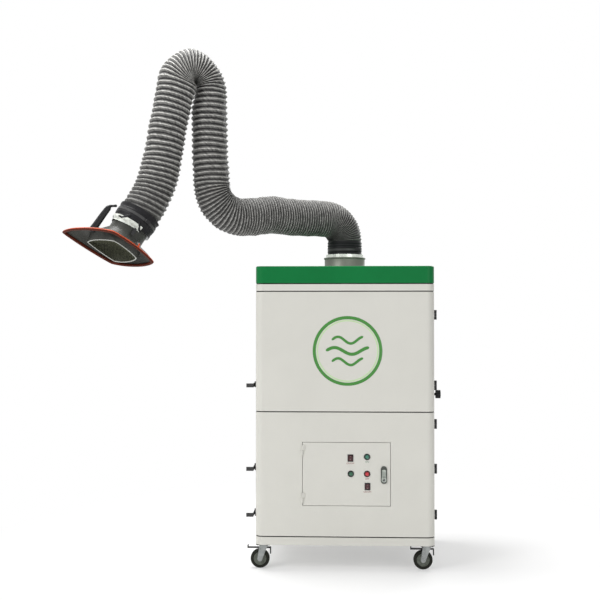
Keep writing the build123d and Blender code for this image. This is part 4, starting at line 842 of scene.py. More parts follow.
class EXTRACTOR_OT_upper_cuff(bpy.types.Operator):
    """Turn the folded cuff, the bare band and its strap above the hood"""
    bl_idname = "extractor.upper_cuff"
    bl_label = "Hood cuff and band"

    # Lengths from the start of the hose's straight end, and radii
    cuff_start, cuff_end, cuff_inner, cuff_outer = 0.025, 0.08, 0.0752, 0.0798
    clamp_at, clamp_radius = 0.054, 0.0806
    band_at, band_half, band_inner = 0.086, 0.0075, 0.07
    foil_at, foil_width, foil_radius, foil_drop, foil_span = 0.0822, 0.0225, 0.0803, 0.0058, (0.13, 0.6)

    def execute(self, context):
        start, down, across, aside = neck_frame()
        self.cuff(start, down, across, aside)
        clamp = hose_clamp(start + down * self.clamp_at, down, self.clamp_radius, (0.62, -0.62, -0.1))
        settle(clamp, "hood_cuff_clamp", "wrist", "black_fitting")
        spigot = dressed("hood_spigot", "zinc_plate", 0.0005)
        band = start + down * self.band_at
        paint_faces(spigot, "black_rubber", lambda at, normal: abs((at - band).dot(down)) < self.band_half
                    and (at - band).length > self.band_inner)
        self.wrap(start, down, across, aside)
        self.hook(start, down)
        return {"FINISHED"}

    def cuff(self, start, down, across, aside):
        """A rubber sleeve with soft folds, its rows down the outside and back up the inside."""
        rows, columns = 26, 120

        def place(row, share):
            turn = math.tau * share
            if row > rows:
                along = self.cuff_end - (row - rows - 1) / 3 * (self.cuff_end - self.cuff_start)
                radius = self.cuff_inner
            else:
                part = row / rows
                along = self.cuff_start + part * (self.cuff_end - self.cuff_start)
                along += 0.0014 * math.sin(3 * turn) * part
                radius = self.cuff_outer + 0.0011 * math.sin(part * 19 + 0.8 * math.sin(turn + 1))
                radius += 0.0016 * lumps(3.4, turn, part * 5.2)
                radius += 0.0022 * max(0, 1 - part * 9) - 0.0016 * max(0, part * 9 - 8)
            return round_at(start + down * along, across, aside, share, radius)

        settle(rolled(rows + 5, columns, place, ring=True), "hood_cuff_folded", "wrist",
               "black_rubber", ["hood_cuff"], angle=60)

    def wrap(self, start, down, across, aside):
        """A crumpled foil band that goes part of the way round, under the cuff's lower edge."""
        rows, columns, (first, last) = 10, 90, self.foil_span

        def place(row, share):
            turn = math.tau * (first + (last - first) * share)
            inner = row > rows // 2
            part = (rows - row if inner else row) / (rows // 2)
            crumple = lumps(5, turn, part * 2.2)
            fall = min(max(part - 0.42, 0.0) / 0.3, 1.0)
            radius = self.foil_radius - self.foil_drop * fall * fall * (3 - 2 * fall) + 0.0006 * crumple
            radius -= 0.0012 if inner else 0
            along = self.foil_at + part * (self.foil_width + 0.0014 * math.sin(turn * 4.0)) + 0.0006 * crumple
            return start + down * along + (across * math.cos(turn) + aside * math.sin(turn)) * radius

        foil = rolled(rows, columns, place)
        apply_modifier(foil, "SOLIDIFY", thickness=0.0006)
        settle(foil, "hood_foil_band", "wrist", "foil_band", angle=50)

    def hook(self, start, down):
        """A strap's hooked tail and loose fold at the cuff's front edge."""
        ahead = Vector((0.78, -1, 0))
        ahead = (ahead - down * ahead.dot(down)).normalized()
        tangent = down.cross(ahead)
        base = start + ahead * 0.0765

        def strap(spots, radii, rings):
            """A bar through places given down the neck, round it and out from it."""
            path = [base + down * along + tangent * aside + ahead * out for along, aside, out in spots]
            return tube(path, radii, 12, rings)

        tail = strap([(0.07, 0.012, 0), (0.084, 0.004, 0.001), (0.097, -0.006, -0.0005), (0.1, -0.014, -0.002)],
                     [0.0042, 0.0048, 0.0036, 0.0022], 24)
        fold = strap([(0.074, 0.05, -0.02), (0.088, 0.062, -0.031), (0.09, 0.074, -0.044)],
                     [0.008, 0.0062, 0.003], 20)
        settle(joined([tail, fold]), "cuff_strap_tail", "wrist", "black_rubber", angle=60)


# Hood


def soft_diamond(share, half, near, far, grow=0.0):
    """Along and across of the mouth's outline: four quarters whose corners sit off the middle."""
    cosine, sine = math.cos(math.tau * share), math.sin(math.tau * share)
    corner = half * (0.14 if sine > 0 else 0.05)
    power = (1.3 if cosine > 0 else 1.36) if sine > 0 else (1.44 if cosine > 0 else 1.14)
    reach = half + grow + (-corner if cosine > 0 else corner)
    tall = (near if sine > 0 else far) + grow
    return (corner + math.copysign(reach * abs(cosine) ** (2 / power), cosine),
            math.copysign(tall * abs(sine) ** (2 / power), sine))


def on_mouth(centre, x, y, depth=0.0):
    return centre + mouth_long * x + mouth_wide * y + mouth_face * depth


def throat_point(throat, share, half_long, half_wide, depth=0.0):
    """A point of the oval where the funnel meets the dish."""
    return on_mouth(throat, half_long * math.cos(math.tau * share), half_wide * math.sin(math.tau * share), depth)


class EXTRACTOR_OT_hood(bpy.types.Operator):
    """Shape the hood's funnel, its rubber edge, the wire guard and the grip"""
    bl_idname = "extractor.hood"
    bl_label = "Hood"

    columns = 160
    # Half length, and half width on the near and the far side
    mouth_half = (0.1825, 0.13, 0.118)
    guard_half = (0.096, 0.074, 0.079)
    neck_at, neck_radius, wall, dish_sag = 0.1303, 0.0695, 0.003, 0.006

    def execute(self, context):
        start, down, across, aside = neck_frame()
        neck = start + down * self.neck_at
        throat = neck - mouth_long * 0.0232 + mouth_face * 0.0447
        mouth = throat - mouth_long * 0.0192 - mouth_wide * 0.0045 + mouth_face * 0.0132
        self.funnel(neck, throat, mouth, down, across, aside)
        self.rim(mouth)
        middle = on_mouth(mouth, 0.018, -0.004, 0.011)
        self.guard(middle)
        self.guard_sleeve(throat, middle)
        self.grip(neck)
        return {"FINISHED"}

    def funnel(self, neck, throat, mouth, down, across, aside):
        """Rows run down the outside from the neck to the mouth, and back up the inside."""
        def ring_row(along, radius):
            return lambda share: round_at(neck + down * along, across, aside, share, radius)

        def oval(share, grow):
            return throat_point(throat, share, 0.104 + grow, 0.08 + grow)

        def neck_row(part, grow):
            ease = part * part * (3 - 2 * part) * 0.4 + part * 0.6
            return lambda share: ring_row(0, self.neck_radius + grow)(share).lerp(oval(share, grow), ease)

        def dish_row(part, grow):
            sag = mouth_face * self.dish_sag * math.sin(part * math.pi)
            return lambda share: oval(share, grow).lerp(
                on_mouth(mouth, *soft_diamond(share, *self.mouth_half, grow - 0.006)), part) - sag

        neck_levels = [(-0.0575, 0.0689), (-0.0385, 0.0689), (-0.038, 0.0693), (-0.037, self.neck_radius),
                       (-0.02, self.neck_radius), (0.0, self.neck_radius)]
        steps = (0.15, 0.3, 0.45, 0.6, 0.75, 0.88, 1.0)
        dish = (0.15, 0.3, 0.5, 0.7, 0.88, 1.0)
        rows = [ring_row(*level) for level in neck_levels] + [neck_row(part, 0.0) for part in steps]
        rows += [dish_row(part, 0.0) for part in dish] + [dish_row(part, -0.0032) for part in reversed(dish)]
        rows += [neck_row(part, -self.wall) for part in reversed(steps)]
        rows += [ring_row(along, radius - self.wall) for along, radius in reversed(neck_levels)]
        obj = rolled(len(rows), self.columns, lambda row, share: rows[row](share), ring=True)
        settle(obj, "hood_funnel", "hood", "hood_moulding", ["hood_shell"], angle=50)

    def rim(self, mouth):
        """A rubber edge: a soft channel section, by reach out and depth, carried round the mouth."""
        section = [(-0.0122, 0.0018), (-0.0128, 0.0048), (-0.0122, 0.0092), (-0.0095, 0.0108), (-0.006, 0.0112),
                   (-0.003, 0.0104), (-0.0008, 0.0086), (0.0, 0.0062), (-0.0006, 0.0036), (-0.0028, 0.0014),
                   (-0.0072, 0.0006)]

        def place(row, share):
            out, depth = section[row]
            return on_mouth(mouth, *soft_diamond(share, *self.mouth_half, out), depth)

        obj = rolled(len(section), self.columns * 2, place, ring=True)
        settle(obj, "hood_rim_rubber", "hood", "rim_rubber", ["hood_rim"], angle=60)
        # the faces that turn out of the mouth or in towards it get painted shade
        paint_faces(obj, "rim_rubber_shaded", lambda at, normal: normal.dot(mouth_face) > 0.25
                    or normal.dot((at - mouth).normalized()) < 0.1)
        root = on_mouth(mouth, 0.121, 0.068, 0.002)
        stud = tube([root, root - mouth_face * 0.012 + mouth_wide * 0.002], [0.004, 0.003], 14, 6)
        settle(stud, "rim_stud", "hood", "rim_rubber")

    def reach(self, outline, x, y):
        """How far an outline lies from its middle, in the direction of a point."""
        angle = math.atan2(y, x)
        return math.hypot(*min(outline, key=lambda spot: abs(
            (math.atan2(spot[1], spot[0]) - angle + math.pi) % math.tau - math.pi)))

    def guard(self, middle):
        """Square wires inside a bright frame: a dished net, cut and drawn in to the outline."""
        cell, sag, wire = 0.0058, 0.016, 0.0015
        half_long, half_wide = self.guard_half[:2]
        deselect()
        bpy.ops.mesh.primitive_grid_add(x_subdivisions=round(half_long * 2 / cell),
                                        y_subdivisions=round(half_wide * 2 / cell), size=2)
        net = bpy.context.object
        outline = [soft_diamond(i / 240, *self.guard_half) for i in range(240)]
        beyond = []
        for vertex in net.data.vertices:
            x, y = vertex.co.x * half_long, vertex.co.y * half_wide
            far, limit = math.hypot(x, y), self.reach(outline, x, y)
            beyond.append(far > limit + cell * 0.75)
            if far > limit - cell * 0.25:
                x, y, far = x * limit / far, y * limit / far, limit
            vertex.co = on_mouth(middle, x, y, -sag * (1 - (far / limit) ** 2))
        bpy.ops.object.mode_set(mode="EDIT")
        bpy.ops.mesh.select_mode(type="FACE")
        bpy.ops.mesh.select_all(action="DESELECT")
        bpy.ops.object.mode_set(mode="OBJECT")
        for face in net.data.polygons:
            face.select = any(beyond[index] for index in face.vertices)
        bpy.ops.object.mode_set(mode="EDIT")
        bpy.ops.mesh.delete(type="FACE")
        bpy.ops.object.mode_set(mode="OBJECT")
        apply_modifier(net, "WIREFRAME", thickness=wire, use_even_offset=False, use_boundary=True)
        settle(net, "hood_guard", "hood", "guard_wire", ["hood_mesh"], angle=40)
        bar = [(0.0026 * math.cos(math.tau * i / 10), 0.0017 * math.sin(math.tau * i / 10)) for i in range(10)]
        trim = rolled(len(bar), self.columns, lambda row, share: on_mouth(
            middle, *soft_diamond(share, *self.guard_half, bar[row][0]), bar[row][1]), ring=True)
        settle(trim, "hood_guard_trim", "hood", "guard_trim")

    def guard_sleeve(self, throat, middle):
        """The short sleeve that holds the guard forward of the throat."""
        def place(row, share):
            if row in (0, 1):
                grow = 0.0002 if row else 0.0022
                return on_mouth(middle, *soft_diamond(share, *self.guard_half, grow), -0.001)
            return throat_point(throat, share, 0.1005, 0.0765, -0.003).lerp(throat, 0.0 if row == 3 else 0.02)

        sleeve = rolled(4, self.columns, place, ring=True)
        settle(sleeve, "hood_guard_sleeve", "hood", "hood_moulding", angle=50)

    def grip(self, neck):
        """A flattened, tapering bar that ends in a thin rounded rod."""
        offsets = [(0.1235, 0.0225), (0.1065, 0.046), (0.0835, 0.079), (0.0655, 0.1025), (0.0575, 0.1105),
                   (0.047, 0.1125), (0.0365, 0.1135)]
        radii = [0.0135, 0.013, 0.0122, 0.0108, 0.0062, 0.0044, 0.0054]
        bar = tube([neck + arm_out * reach + up * rise for reach, rise in offsets], radii, 28, 60)
        for vertex in bar.data.vertices:
            vertex.co -= arm_pin * (vertex.co - neck).dot(arm_pin) * 0.36
        settle(bar, "hood_grip", "hood", "black_moulding", ["hood_handle"], angle=60)


# Cabinet, lid and doors


class EXTRACTOR_OT_cabinet(bpy.types.Operator):
    """Round and coat the cabinet's sheet metal, the lid, the base and the doors"""
    bl_idname = "extractor.cabinet"
    bl_label = "Cabinet and doors"

    # The height of the band at the lid's foot painted black as shade in the gap under the lid, how far the strip's
    # seam lies under the lid, and the height of a seal
    lid_lip, strip_drop, seal_height = 0.0038, 0.026, 0.003

    def execute(self, context):
        lid_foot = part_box("lid_cover")[0].z
        for node, slot, coat, width in (("cabinet_shell", "cabinet_paint", "cabinet_powder_coat", 0.0005),
                                        ("lid_cover", "green_paint", "lid_powder_coat", 0.0008),
                                        ("base_frame", "cabinet_paint", "cabinet_powder_coat", 0.0008),
                                        ("upper_door", "cabinet_paint", "cabinet_powder_coat", None),
                                        ("lower_door", "cabinet_paint", "cabinet_powder_coat", None),
                                        ("control_door", "cabinet_paint", "cabinet_powder_coat", None)):
            obj = dressed(node, coat, width)
            if node == "lid_cover":
                # the band at the lid's foot is painted black as shade in the gap under it
                paint_faces(obj, "black_rubber", lambda at, normal: at.z < lid_foot + self.lid_lip)
        self.seal("strip_seal", "cabinet", lid_foot - self.strip_drop)
        for door in ("upper_door", "lower_door"):
            self.seal(door + "_seal", door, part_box(door)[0].z)
        return {"FINISHED"}

    def seal(self, name, body, top):
        """A rubber lip in the seam along the front, round both corners and back to the door's end, darker than the
        rubber as painted shade in the seam.
        """
        half_x, face, end, corner, depth = 0.3485, front_y + 0.0015, -0.243, 0.0285, 0.008
        outline = []
        for inset, sides in ((0.0, (-1, 1)), (depth, (1, -1))):
            for side in sides:
                run = [(side * (half_x - inset), end)]
                for step in range(9):
                    turn = math.pi / 2 * step / 8
                    run.append((side * (half_x - corner + (corner - inset) * math.cos(turn)),
                                face + corner - (corner - inset) * math.sin(turn)))
                outline += run if (side < 0) == (inset == 0) else run[::-1]
        foot = top - self.seal_height
        settle(slab(outline, (0, 0, foot), right, up, top - foot), name, body, "seal_rubber_shaded")


class EXTRACTOR_OT_air_sign(bpy.types.Operator):
    """Lay a raised air sign, a ring round three waves, on the upper door"""
    bl_idname = "extractor.air_sign"
    bl_label = "Air sign"

    centre = Vector((0.011, front_y, 0.856))
    lift, wave_height, wave_count = 0.0004, 0.013, 1.25
    # Height over the centre, half length and width of each wave
    waves = ((0.042, 0.062, 0.0085), (0.0, 0.085, 0.0105), (-0.042, 0.062, 0.0085))

    def execute(self, context):
        radius = sizes().sign_radius
        self.hoop("air_sign_ring", radius, 0.0125, "sign_paint")
        self.hoop("air_sign_inner_ring", radius - 0.0155, 0.005, "sign_pale_paint")
        for index, (rise, half, width) in enumerate(self.waves):
            self.wave(f"air_sign_wave_{index}", self.centre + up * rise, half, width)
        return {"FINISHED"}

    def hoop(self, name, outer, width, material):
        inner, top, bevel = outer - width, self.lift, 0.0002
        section = [(inner, -top), (outer, -top), (outer, top * 0.7), (outer - bevel, top), (inner + bevel, top),
                   (inner, top * 0.7)]
        settle(spun(section, self.centre, front, 160), name, "upper_door", material)

    def wave(self, name, centre, half, width):
        """A flat wavy band with rounded ends, closed front and back."""
        steps = 64
        corners = [(-1, -1), (1, -1), (1, 1), (-1, 1)]

        def place(row, share):
            side, behind = corners[round(share * 4) % 4]
            part = row / steps
            x = -half + 2 * half * part
            to_end = min(part, 1 - part) * 2 * half
            ends = min(1.0, math.sqrt(max(0.0, 1 - (1 - to_end / width) ** 2)) if to_end < width else 1.0)
            turn = part * math.tau * self.wave_count
            slope = math.atan(self.wave_height * math.tau * self.wave_count / (2 * half) * math.cos(turn))
            reach = side * width * ends * 0.6
            return centre + Vector((x - reach * math.sin(slope), -self.lift if behind > 0 else self.lift,
                                    self.wave_height * math.sin(turn) + reach * math.cos(slope)))

        settle(rolled(steps, 4, place), name, "upper_door", "sign_paint")


# Controls


class EXTRACTOR_OT_controls(bpy.types.Operator):
    """Make the switches, buttons, lock lever and their marks on the control door"""
    bl_idname = "extractor.controls"
    bl_label = "Controls"

    # Heights of the letters, how far they stand off the face and how far captions hang below their piece
    mark_height, caption_height, letter_lift, caption_drop = 0.0058, 0.0085, 0.0001, 0.0105
    # How far the pivot lies above the lever's foot, and half the width of the plate under the lever
    pivot_rise, plate_half = 0.0095, 0.014

    def execute(self, context):
        bezels = dressed("switch_bezels", "black_moulding", 0.0006)
        low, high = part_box("control_lock")
        lock_x = (low.x + high.x) / 2
        paint_faces(bezels, "lock_plating", lambda at, normal: at.x > lock_x - self.plate_half)
        for node in ("rocker_power", "rocker_light"):
            self.rocker(node)
        for node, slot in (("button_start", "teal_button"), ("button_reset", "green_button"),
                           ("button_stop", "red_button")):
            self.button(node, slot)
        self.lock(lock_x, low, high)
        self.captions()
        return {"FINISHED"}

    def rocker(self, node):
        obj = dressed(node, "rocker_red", 0.0009)
        low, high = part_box(node)
        marks = [self.mark(text, ((low.x + high.x) / 2, low.y + self.letter_lift, z), self.mark_height)
                 for text, z in (("I", high.z - 0.0052), ("O", low.z + 0.0052))]
        settle(joined(marks), node + "_marks", obj["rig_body"], "mark_pale")

    def button(self, node, slot):
        """A cap with a rounded rim round a shallow dish, darker at the rim and lighter in the middle as a painted
        glint.
        """
        low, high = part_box(node)
        middle, radius, depth = (low + high) / 2, (high.x - low.x) / 2, high.y - low.y
        section = [(0, 0), (radius - 0.0005, 0), (radius, 0.0005), (radius, depth - 0.0016),
                   (radius - 0.0005, depth - 0.0004), (radius - 0.0016, depth), (radius - 0.0026, depth - 0.0001),
                   (radius * 0.62, depth - 0.0009), (radius * 0.3, depth - 0.0013), (0, depth - 0.0014)]
        cap = spun(section, (middle.x, high.y, middle.z), front, 64)
        settle(cap, node + "_cap", node, node + "_plastic", [node])
        paint_faces(cap, node + "_ring",
                    lambda at, normal: math.hypot(at.x - middle.x, at.z - middle.z) > radius * 0.74)
        # the middle of the cap is painted lighter as a glint
        paint_faces(cap, node + "_middle",
                    lambda at, normal: math.hypot(at.x - middle.x, at.z - middle.z) < radius * 0.32)

    def lock(self, x, low, high):
        """A swinging lever on its plate, with a keyhole at the pivot and grip grooves."""
        half, pivot_z = (high.x - low.x) / 2, low.z + self.pivot_rise
        length = high.z - pivot_z
        turns = [math.pi + math.pi * step / 12 for step in range(13)]
        outline = [(half * math.cos(turn), half * 0.9 * math.sin(turn)) for turn in turns]
        flank = [(half * 0.86, 0.008), (half * 0.72, 0.02), (half * 0.72, length - 0.003), (half * 0.5, length)]
        outline += flank + [(-across, rise) for across, rise in reversed(flank)]
        lever = slab(outline, (x, high.y, pivot_z), right, front, high.y - low.y, 0.0013)
        settle(lever, "lock_lever", "control_lock", "lock_lever_plate", ["control_lock"])
        pivot = (x, low.y, pivot_z)
        hole = 0.0036
        ring = spun([(hole, -0.0006), (0.0058, -0.0006), (0.0058, 0.0005), (0.0052, 0.0009), (0.0042, 0.0009),
                     (hole, 0.0004)], pivot, front, 40)
        settle(ring, "lock_key_ring", "control_lock", "zinc_plate")
        barrel = spun([(0, -0.0006), (hole, -0.0006), (hole, 0.0003), (0, 0.0003)], pivot, front, 32)
        slot = slab(rounded(0.00055, 0.0024, 0.0004, 3), (x, low.y - 0.0002, pivot_z), right, front, 0.0003)
        settle(joined([barrel, slot]), "lock_key_barrel", "control_lock", "black_fitting")
        # the grip grooves are thin raised strips painted near-black as shade in the grooves
        grooves = [slab(outline, (x + shift, low.y + 0.0002, z), right, front, 0.0005) for outline, shift, z in (
            (rounded(0.0009, 0.0155, 0.0008), -half * 0.36, high.z - 0.0215),
            (rounded(0.0009, 0.0155, 0.0008), half * 0.36, high.z - 0.0215),
            (rounded(half * 0.7, 0.0011, 0.001), 0.0, pivot_z + 0.0125))]
        settle(joined(grooves), "lock_lever_grooves", "control_lock", "lock_groove_shade")

    def mark(self, text, place, height):
        """A raised word or sign that faces the front."""
        deselect()
        bpy.ops.object.text_add(location=place, rotation=(math.pi / 2, 0, 0))
        words = bpy.context.object.data
        words.body, words.size, words.extrude = text, height, 0.00012
        words.align_x = words.align_y = "CENTER"
        bpy.ops.object.convert(target="MESH")
        return bpy.context.object

    def captions(self):
        """Small words under the buttons and switches."""
        for name, slot, words in (("green", "green_button", (("button_start", "ON"),)),
                                  ("red", "red_button", (("button_stop", "OFF"), ("rocker_power", "ON/OFF"),
                                                         ("rocker_light", "ON/OFF")))):
            marks = []
            for node, text in words:
                low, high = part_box(node)
                place = ((low.x + high.x) / 2, front_y - self.letter_lift, low.z - self.caption_drop)
                marks.append(self.mark(text, place, self.caption_height))
            settle(joined(marks), "captions_" + name, "control_door", "caption_" + name)


# Hinges, latches and the knob


class EXTRACTOR_OT_side_fittings(bpy.types.Operator):
    """Finish the hinges, latches, clips and the airflow knob"""
    bl_idname = "extractor.side_fittings"
    bl_label = "Hinges, latches and knob"

    # Where the screws sit: depth on the fixed and the moving leaf and on the latch plate, and plates' thickness
    fixed_leaf_y, moving_leaf_y, latch_plate_y = -0.222, -0.255, -0.1876
    leaf, knob_plate = 0.0025, 0.002

    def execute(self, context):
        for node in ("side_fittings", "upper_door_fittings", "caster_plates", "lower_door_fittings"):
            obj = dressed(node, "black_fitting", 0.0005)
            if node == "lower_door_fittings":
                paint_faces(obj, "cabinet_powder_coat", lambda at, normal: abs(at.x) < 0.3)
        for place in ("top", "middle", "bottom"):
            lever = dressed("latch_lever_" + place, "black_fitting", 0.0009)
            paint_faces(lever, "zinc_plate", lambda at, normal: normal.x < -0.8 or abs(normal.z) > 0.8)
        dressed("airflow_knob", "black_moulding", 0.0012)
        self.cabinet_screws()
        self.door_screws()
        return {"FINISHED"}

    def cabinet_screws(self):
        """Screw heads on the hinges' fixed leaves, the latch plates and the knob's plate."""
        heads = [screw((side_x + self.leaf, self.fixed_leaf_y, z + rise), right, 0.0029, 14)
                 for z in hinge_heights for rise in (-0.012, 0.012)]
        for place in ("top", "middle", "bottom"):
            low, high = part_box("latch_lever_" + place)
            place = (-side_x - self.leaf, self.latch_plate_y, (low.z + high.z) / 2)
            heads.append(screw(place, -right, 0.0029, 14))
        low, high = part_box("airflow_knob")
        y, z = (low.y + high.y) / 2, (low.z + high.z) / 2
        heads += [screw((side_x + self.knob_plate, y + shift, z + rise), right, 0.0028, 14)
                  for shift in (-0.016, 0.016) for rise in (-0.074, 0.02)]
        settle(joined(heads), "side_screws", "cabinet", "zinc_plate")

    def door_screws(self):
        """Screw heads on the hinges' moving leaves."""
        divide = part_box("upper_door")[0].z
        heads = {"upper_door": [], "lower_door": []}
        for z in hinge_heights:
            heads["upper_door" if z > divide else "lower_door"].append(
                screw((side_x + self.leaf, self.moving_leaf_y, z), right, 0.0026, 14))
        for door, parts in heads.items():
            settle(joined(parts), door + "_hinge_screws", door, "zinc_plate")


# Casters


class EXTRACTOR_OT_casters(bpy.types.Operator):
    """Turn the wheels with tread and hub, plate the forks, and finish the brake levers and their pins"""
    bl_idname = "extractor.casters"
    bl_label = "Casters"

    tread_half, hub_radius, hub_half = 0.012, 0.025, 0.0132

    def execute(self, context):
        for name in caster_names:
            dressed("caster_fork_" + name, "zinc_plate", 0.0006)
            self.wheel("caster_wheel_" + name, "wheel_" + name)
        for name in caster_names[:2]:
            self.brake("brake_pedal_" + name, "brake_pin_" + name, "brake_" + name)
        return {"FINISHED"}

    def brake(self, node, pin_name, body):
        """The brake lever and its riveted pin."""
        dressed(node, "black_moulding", 0.0009)
        low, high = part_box(node)
        head, shank, end = 0.0026, 0.0032, 0.0105
        section = [(0, -end), (head, -end), (shank, -0.0098), (shank, 0.0098), (head, end), (0, end)]
        pin = spun(section, ((low.x + high.x) / 2 + 0.0036, (low.y + high.y) / 2, low.z + 0.022), back, 20)
        settle(pin, pin_name, body, "brake_pin_lacquer")

    def wheel(self, node, body):
        """A tyre with two grooves, turned from one side to the other, and a ribbed hub."""
        low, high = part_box(node)
        middle, radius = (low + high) / 2, (high.x - low.x) / 2
        half, hub = self.tread_half, self.hub_radius
        shoulder = [(hub, -half + 0.001), (hub + 0.002, -half), (radius - 0.0065, -half),
                    (radius - 0.0036, -half + 0.0008), (radius - 0.0012, -half + 0.003),
                    (radius - 0.0002, -half + 0.0058)]
        tyre = list(shoulder)
        for groove in (-0.0028, 0.0028):
            tyre += [(radius, groove - 0.0009), (radius - 0.0012, groove - 0.0004),
                     (radius - 0.0012, groove + 0.0004), (radius, groove + 0.0009)]
        tyre += mirrored(shoulder)
        settle(spun(tyre, middle, back), node + "_tyre", body, "tyre_rubber", [node])
        disc = [(0.0, -self.hub_half), (0.0062, -self.hub_half), (0.0072, -0.0126), (0.0076, -0.0102),
                (0.0125, -0.0078), (0.018, -0.0072), (0.0215, -0.0085), (0.0228, -0.0104), (0.0246, -0.0106),
                (0.0251, -0.0098)]
        pieces = [spun(disc + mirrored(disc), middle, back, 72)]
        for i in range(6):
            out = Vector((math.cos(math.tau * i / 6), 0, math.sin(math.tau * i / 6)))
            foot = middle + out * 0.0148 + front * 0.0104
            pieces.append(slab(rounded(0.0075, 0.0011, 0.0004, 2), foot, out, back, 0.0208, 0.0003))
        settle(joined(pieces), node + "_hub", body, "hub_moulding")


def mirrored(section):
    """A section's other side: the same radii, back from its end, at opposite heights."""
    return [(radius, -height) for radius, height in reversed(section)]


# Rear fittings and what is inside


class EXTRACTOR_OT_rear(bpy.types.Operator):
    """Finish the outlet grille and the cable gland at the rear"""
    bl_idname = "extractor.rear"
    bl_label = "Grille and gland"

    def execute(self, context):
        dressed("outlet_grille", "cabinet_powder_coat", 0.0006)
        low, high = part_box("outlet_grille")
        inset = 0.009
        heads = [screw((x, high.y, z), back, 0.0036)
                 for x in (low.x + inset, 0, high.x - inset) for z in (low.z + inset, high.z - inset)]
        settle(joined(heads), "grille_screws", "cabinet", "zinc_plate")
        low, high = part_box("cable_gland")
        centre = Vector(((low.x + high.x) / 2, 0.3135, (low.z + high.z) / 2))
        dressed("cable_gland", "black_moulding", 0.0006)
        ridges = []
        for i in range(24):
            out = Vector((math.cos(math.tau * i / 24), 0, math.sin(math.tau * i / 24)))
            ridges.append(slab(rounded(0.0042, 0.0005, 0.0002, 2), centre + out * 0.0107, back, out, 0.0007))
        settle(joined(ridges), "gland_ridges", "cabinet", "black_moulding")
        return {"FINISHED"}


class EXTRACTOR_OT_inside(bpy.types.Operator):
    """Give the filter, blower, motor, wiring and the arm's links their finishes"""
    bl_idname = "extractor.inside"
    bl_label = "Inside"

    # Finishes that go straight on CAD nodes
    coats = {"galvanised_sheet": ("dust_tray", "blower_housing", "impeller"), "cast_housing": ("fan_motor",),
             "black_moulding": ("damper_flap",),
             "link_enamel": ("lower_link", "middle_link", "elbow_bracket", "fore_link")}
    filter_cap, relay_foot = 0.0145, 0.0062

    def execute(self, context):
        cartridge = dressed("filter_cartridge", "filter_paper", 0.0006)
        low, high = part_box("filter_cartridge")
        paint_faces(cartridge, "galvanised_sheet",
                    lambda at, normal: at.z < low.z + self.filter_cap or at.z > high.z - self.filter_cap)
        relay = dressed("contactor", "black_moulding", 0.0009)
        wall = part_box("contactor")[1].y
        paint_faces(relay, "zinc_plate", lambda at, normal: at.y > wall - self.relay_foot)
        for coat, nodes in self.coats.items():
            for node in nodes:
                for slot in frame["nodes"][node].material_slots:
                    slot.link = "OBJECT"
                    slot.material = finish(coat)
        return {"FINISHED"}


# Stage


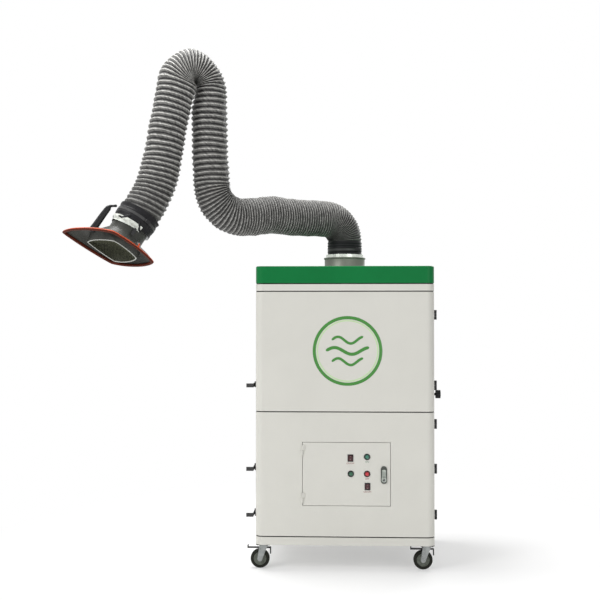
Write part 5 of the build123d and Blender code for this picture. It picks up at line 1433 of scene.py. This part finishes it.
class EXTRACTOR_OT_stage(bpy.types.Operator):
    """Set the pale floor, the studio lamps and the camera"""
    bl_idname = "extractor.stage"
    bl_label = "Stage"

    # Name, place, what it points at, size and power
    lamps = (("key_lamp", (-3.2, -3.2, 3.3), (0, 0, 0.8), 2.2, 112),
             ("fill_lamp", (2.4, -4.2, 0.9), (0, 0, 0.35), 2.6, 40),
             ("top_lamp", (-1.0, 0.2, 4.2), (-0.4, 0, 1.2), 2.0, 150),
             ("back_lamp", (1.6, 3.4, 2.8), (0, 0, 1.0), 2.4, 55))
    sky_light, lens = 0.36, 61.4
    camera_at, camera_tilt, camera_turn = (0, -4.3, 0.985), 91, 2.5

    def execute(self, context):
        deselect()
        bpy.ops.mesh.primitive_grid_add(x_subdivisions=8, y_subdivisions=8, size=60, location=(0, 0, -0.0005))
        floor = bpy.context.object
        floor.name = "studio_floor"
        floor.data.materials.append(self.floor_finish())
        for lamp in self.lamps:
            self.lamp(*lamp)
        self.sky()
        bpy.ops.object.camera_add(location=self.camera_at,
                                  rotation=(math.radians(self.camera_tilt), 0, math.radians(self.camera_turn)))
        camera = bpy.context.object
        camera.data.lens = self.lens
        context.scene.camera = camera
        context.scene.view_settings.view_transform = "Standard"
        return {"FINISHED"}

    def lamp(self, name, place, target, size, power):
        bpy.ops.object.light_add(type="AREA", location=place)
        lamp = bpy.context.object
        lamp.name = name
        lamp.data.shape, lamp.data.size, lamp.data.energy = "DISK", size, power
        lamp.rotation_euler = (Vector(target) - Vector(place)).to_track_quat("-Z", "Y").to_euler()

    def show_white(self, new, lit, white, amount=1.0):
        """Blend a lit shader with plain white for what the camera, a mirror or glass sees directly."""
        path = new.add("LightPath")
        seen = new.math("MAXIMUM", path.outputs["Is Camera Ray"], path.outputs["Is Glossy Ray"])
        seen = new.math("MAXIMUM", seen, path.outputs["Is Transmission Ray"])
        blend = new.add("MixShader")
        new.join(new.math("MULTIPLY", amount, seen), blend.inputs[0])
        new.join(lit.outputs[0], blend.inputs[1])
        new.join(white.outputs[0], blend.inputs[2])
        return blend.outputs[0]

    def floor_finish(self):
        """A pale floor that keeps the shadow near the part and is plain white further off."""
        new = Finish("studio_floor")
        far = new.add("VectorMath", operation="LENGTH")
        new.join(new.place((0.62, 0.5, 1)), far.inputs[0])
        away = new.add("MapRange", {"From Min": 0.35, "From Max": 1.0}, interpolation_type="SMOOTHSTEP")
        new.join(far.outputs["Value"], away.inputs["Value"])
        white = new.add("Emission", {"Color": (1, 1, 1, 1), "Strength": 1.0})
        new.set(Base_Color=(0.92, 0.92, 0.92, 1), Roughness=0.7, Specular_IOR_Level=0.2)
        clear = new.span(away.outputs["Result"], 0.0, 1.0, 0.4, 1.0)
        new.join(self.show_white(new, new.shader, white, clear),
                 new.tree.nodes["Material Output"].inputs["Surface"])
        return new.material

    def sky(self):
        """Even light on the part, seen as plain white."""
        world = bpy.data.worlds.new("studio")
        bpy.context.scene.world = world
        world.use_nodes = True
        new = Finish.__new__(Finish)
        new.tree = world.node_tree
        new.tree.nodes.clear()
        dim = new.add("Background", {"Color": (1, 1, 1, 1), "Strength": self.sky_light})
        white = new.add("Background", {"Color": (1, 1, 1, 1), "Strength": 1.0})
        new.join(self.show_white(new, dim, white), new.add("OutputWorld").inputs["Surface"])


operators = (EXTRACTOR_OT_cabinet, EXTRACTOR_OT_air_sign, EXTRACTOR_OT_controls, EXTRACTOR_OT_side_fittings,
             EXTRACTOR_OT_casters, EXTRACTOR_OT_rear, EXTRACTOR_OT_inside, EXTRACTOR_OT_collar, EXTRACTOR_OT_hose,
             EXTRACTOR_OT_upper_cuff, EXTRACTOR_OT_hood, EXTRACTOR_OT_stage)


class EXTRACTOR_PT_panel(bpy.types.Panel):
    """Sizes, colours and pieces of the fume extractor"""
    bl_idname = "EXTRACTOR_PT_panel"
    bl_label = "Fume extractor"
    bl_space_type = "VIEW_3D"
    bl_region_type = "UI"
    bl_category = "Extractor"

    def draw(self, context):
        for settings in (context.scene.extractor_sizes, context.scene.extractor_colours):
            box = self.layout.box()
            for name in settings.__annotations__:
                box.prop(settings, name)
        for operator in operators:
            self.layout.operator(operator.bl_idname)


classes = (ExtractorSizes, ExtractorColours, *operators, EXTRACTOR_PT_panel)


def register():
    for item in classes:
        bpy.utils.register_class(item)
    bpy.types.Scene.extractor_sizes = PointerProperty(type=ExtractorSizes)
    bpy.types.Scene.extractor_colours = PointerProperty(type=ExtractorColours)


def unregister():
    del bpy.types.Scene.extractor_sizes
    del bpy.types.Scene.extractor_colours
    for item in reversed(classes):
        bpy.utils.unregister_class(item)


def main():
    register()
    bpy.ops.extractor.cabinet()
    bpy.ops.extractor.air_sign()
    bpy.ops.extractor.controls()
    bpy.ops.extractor.side_fittings()
    bpy.ops.extractor.casters()
    bpy.ops.extractor.rear()
    bpy.ops.extractor.inside()
    bpy.ops.extractor.collar()
    bpy.ops.extractor.hose()
    bpy.ops.extractor.upper_cuff()
    bpy.ops.extractor.hood()
    bpy.ops.extractor.stage()


if __name__ == "__main__":
    main()
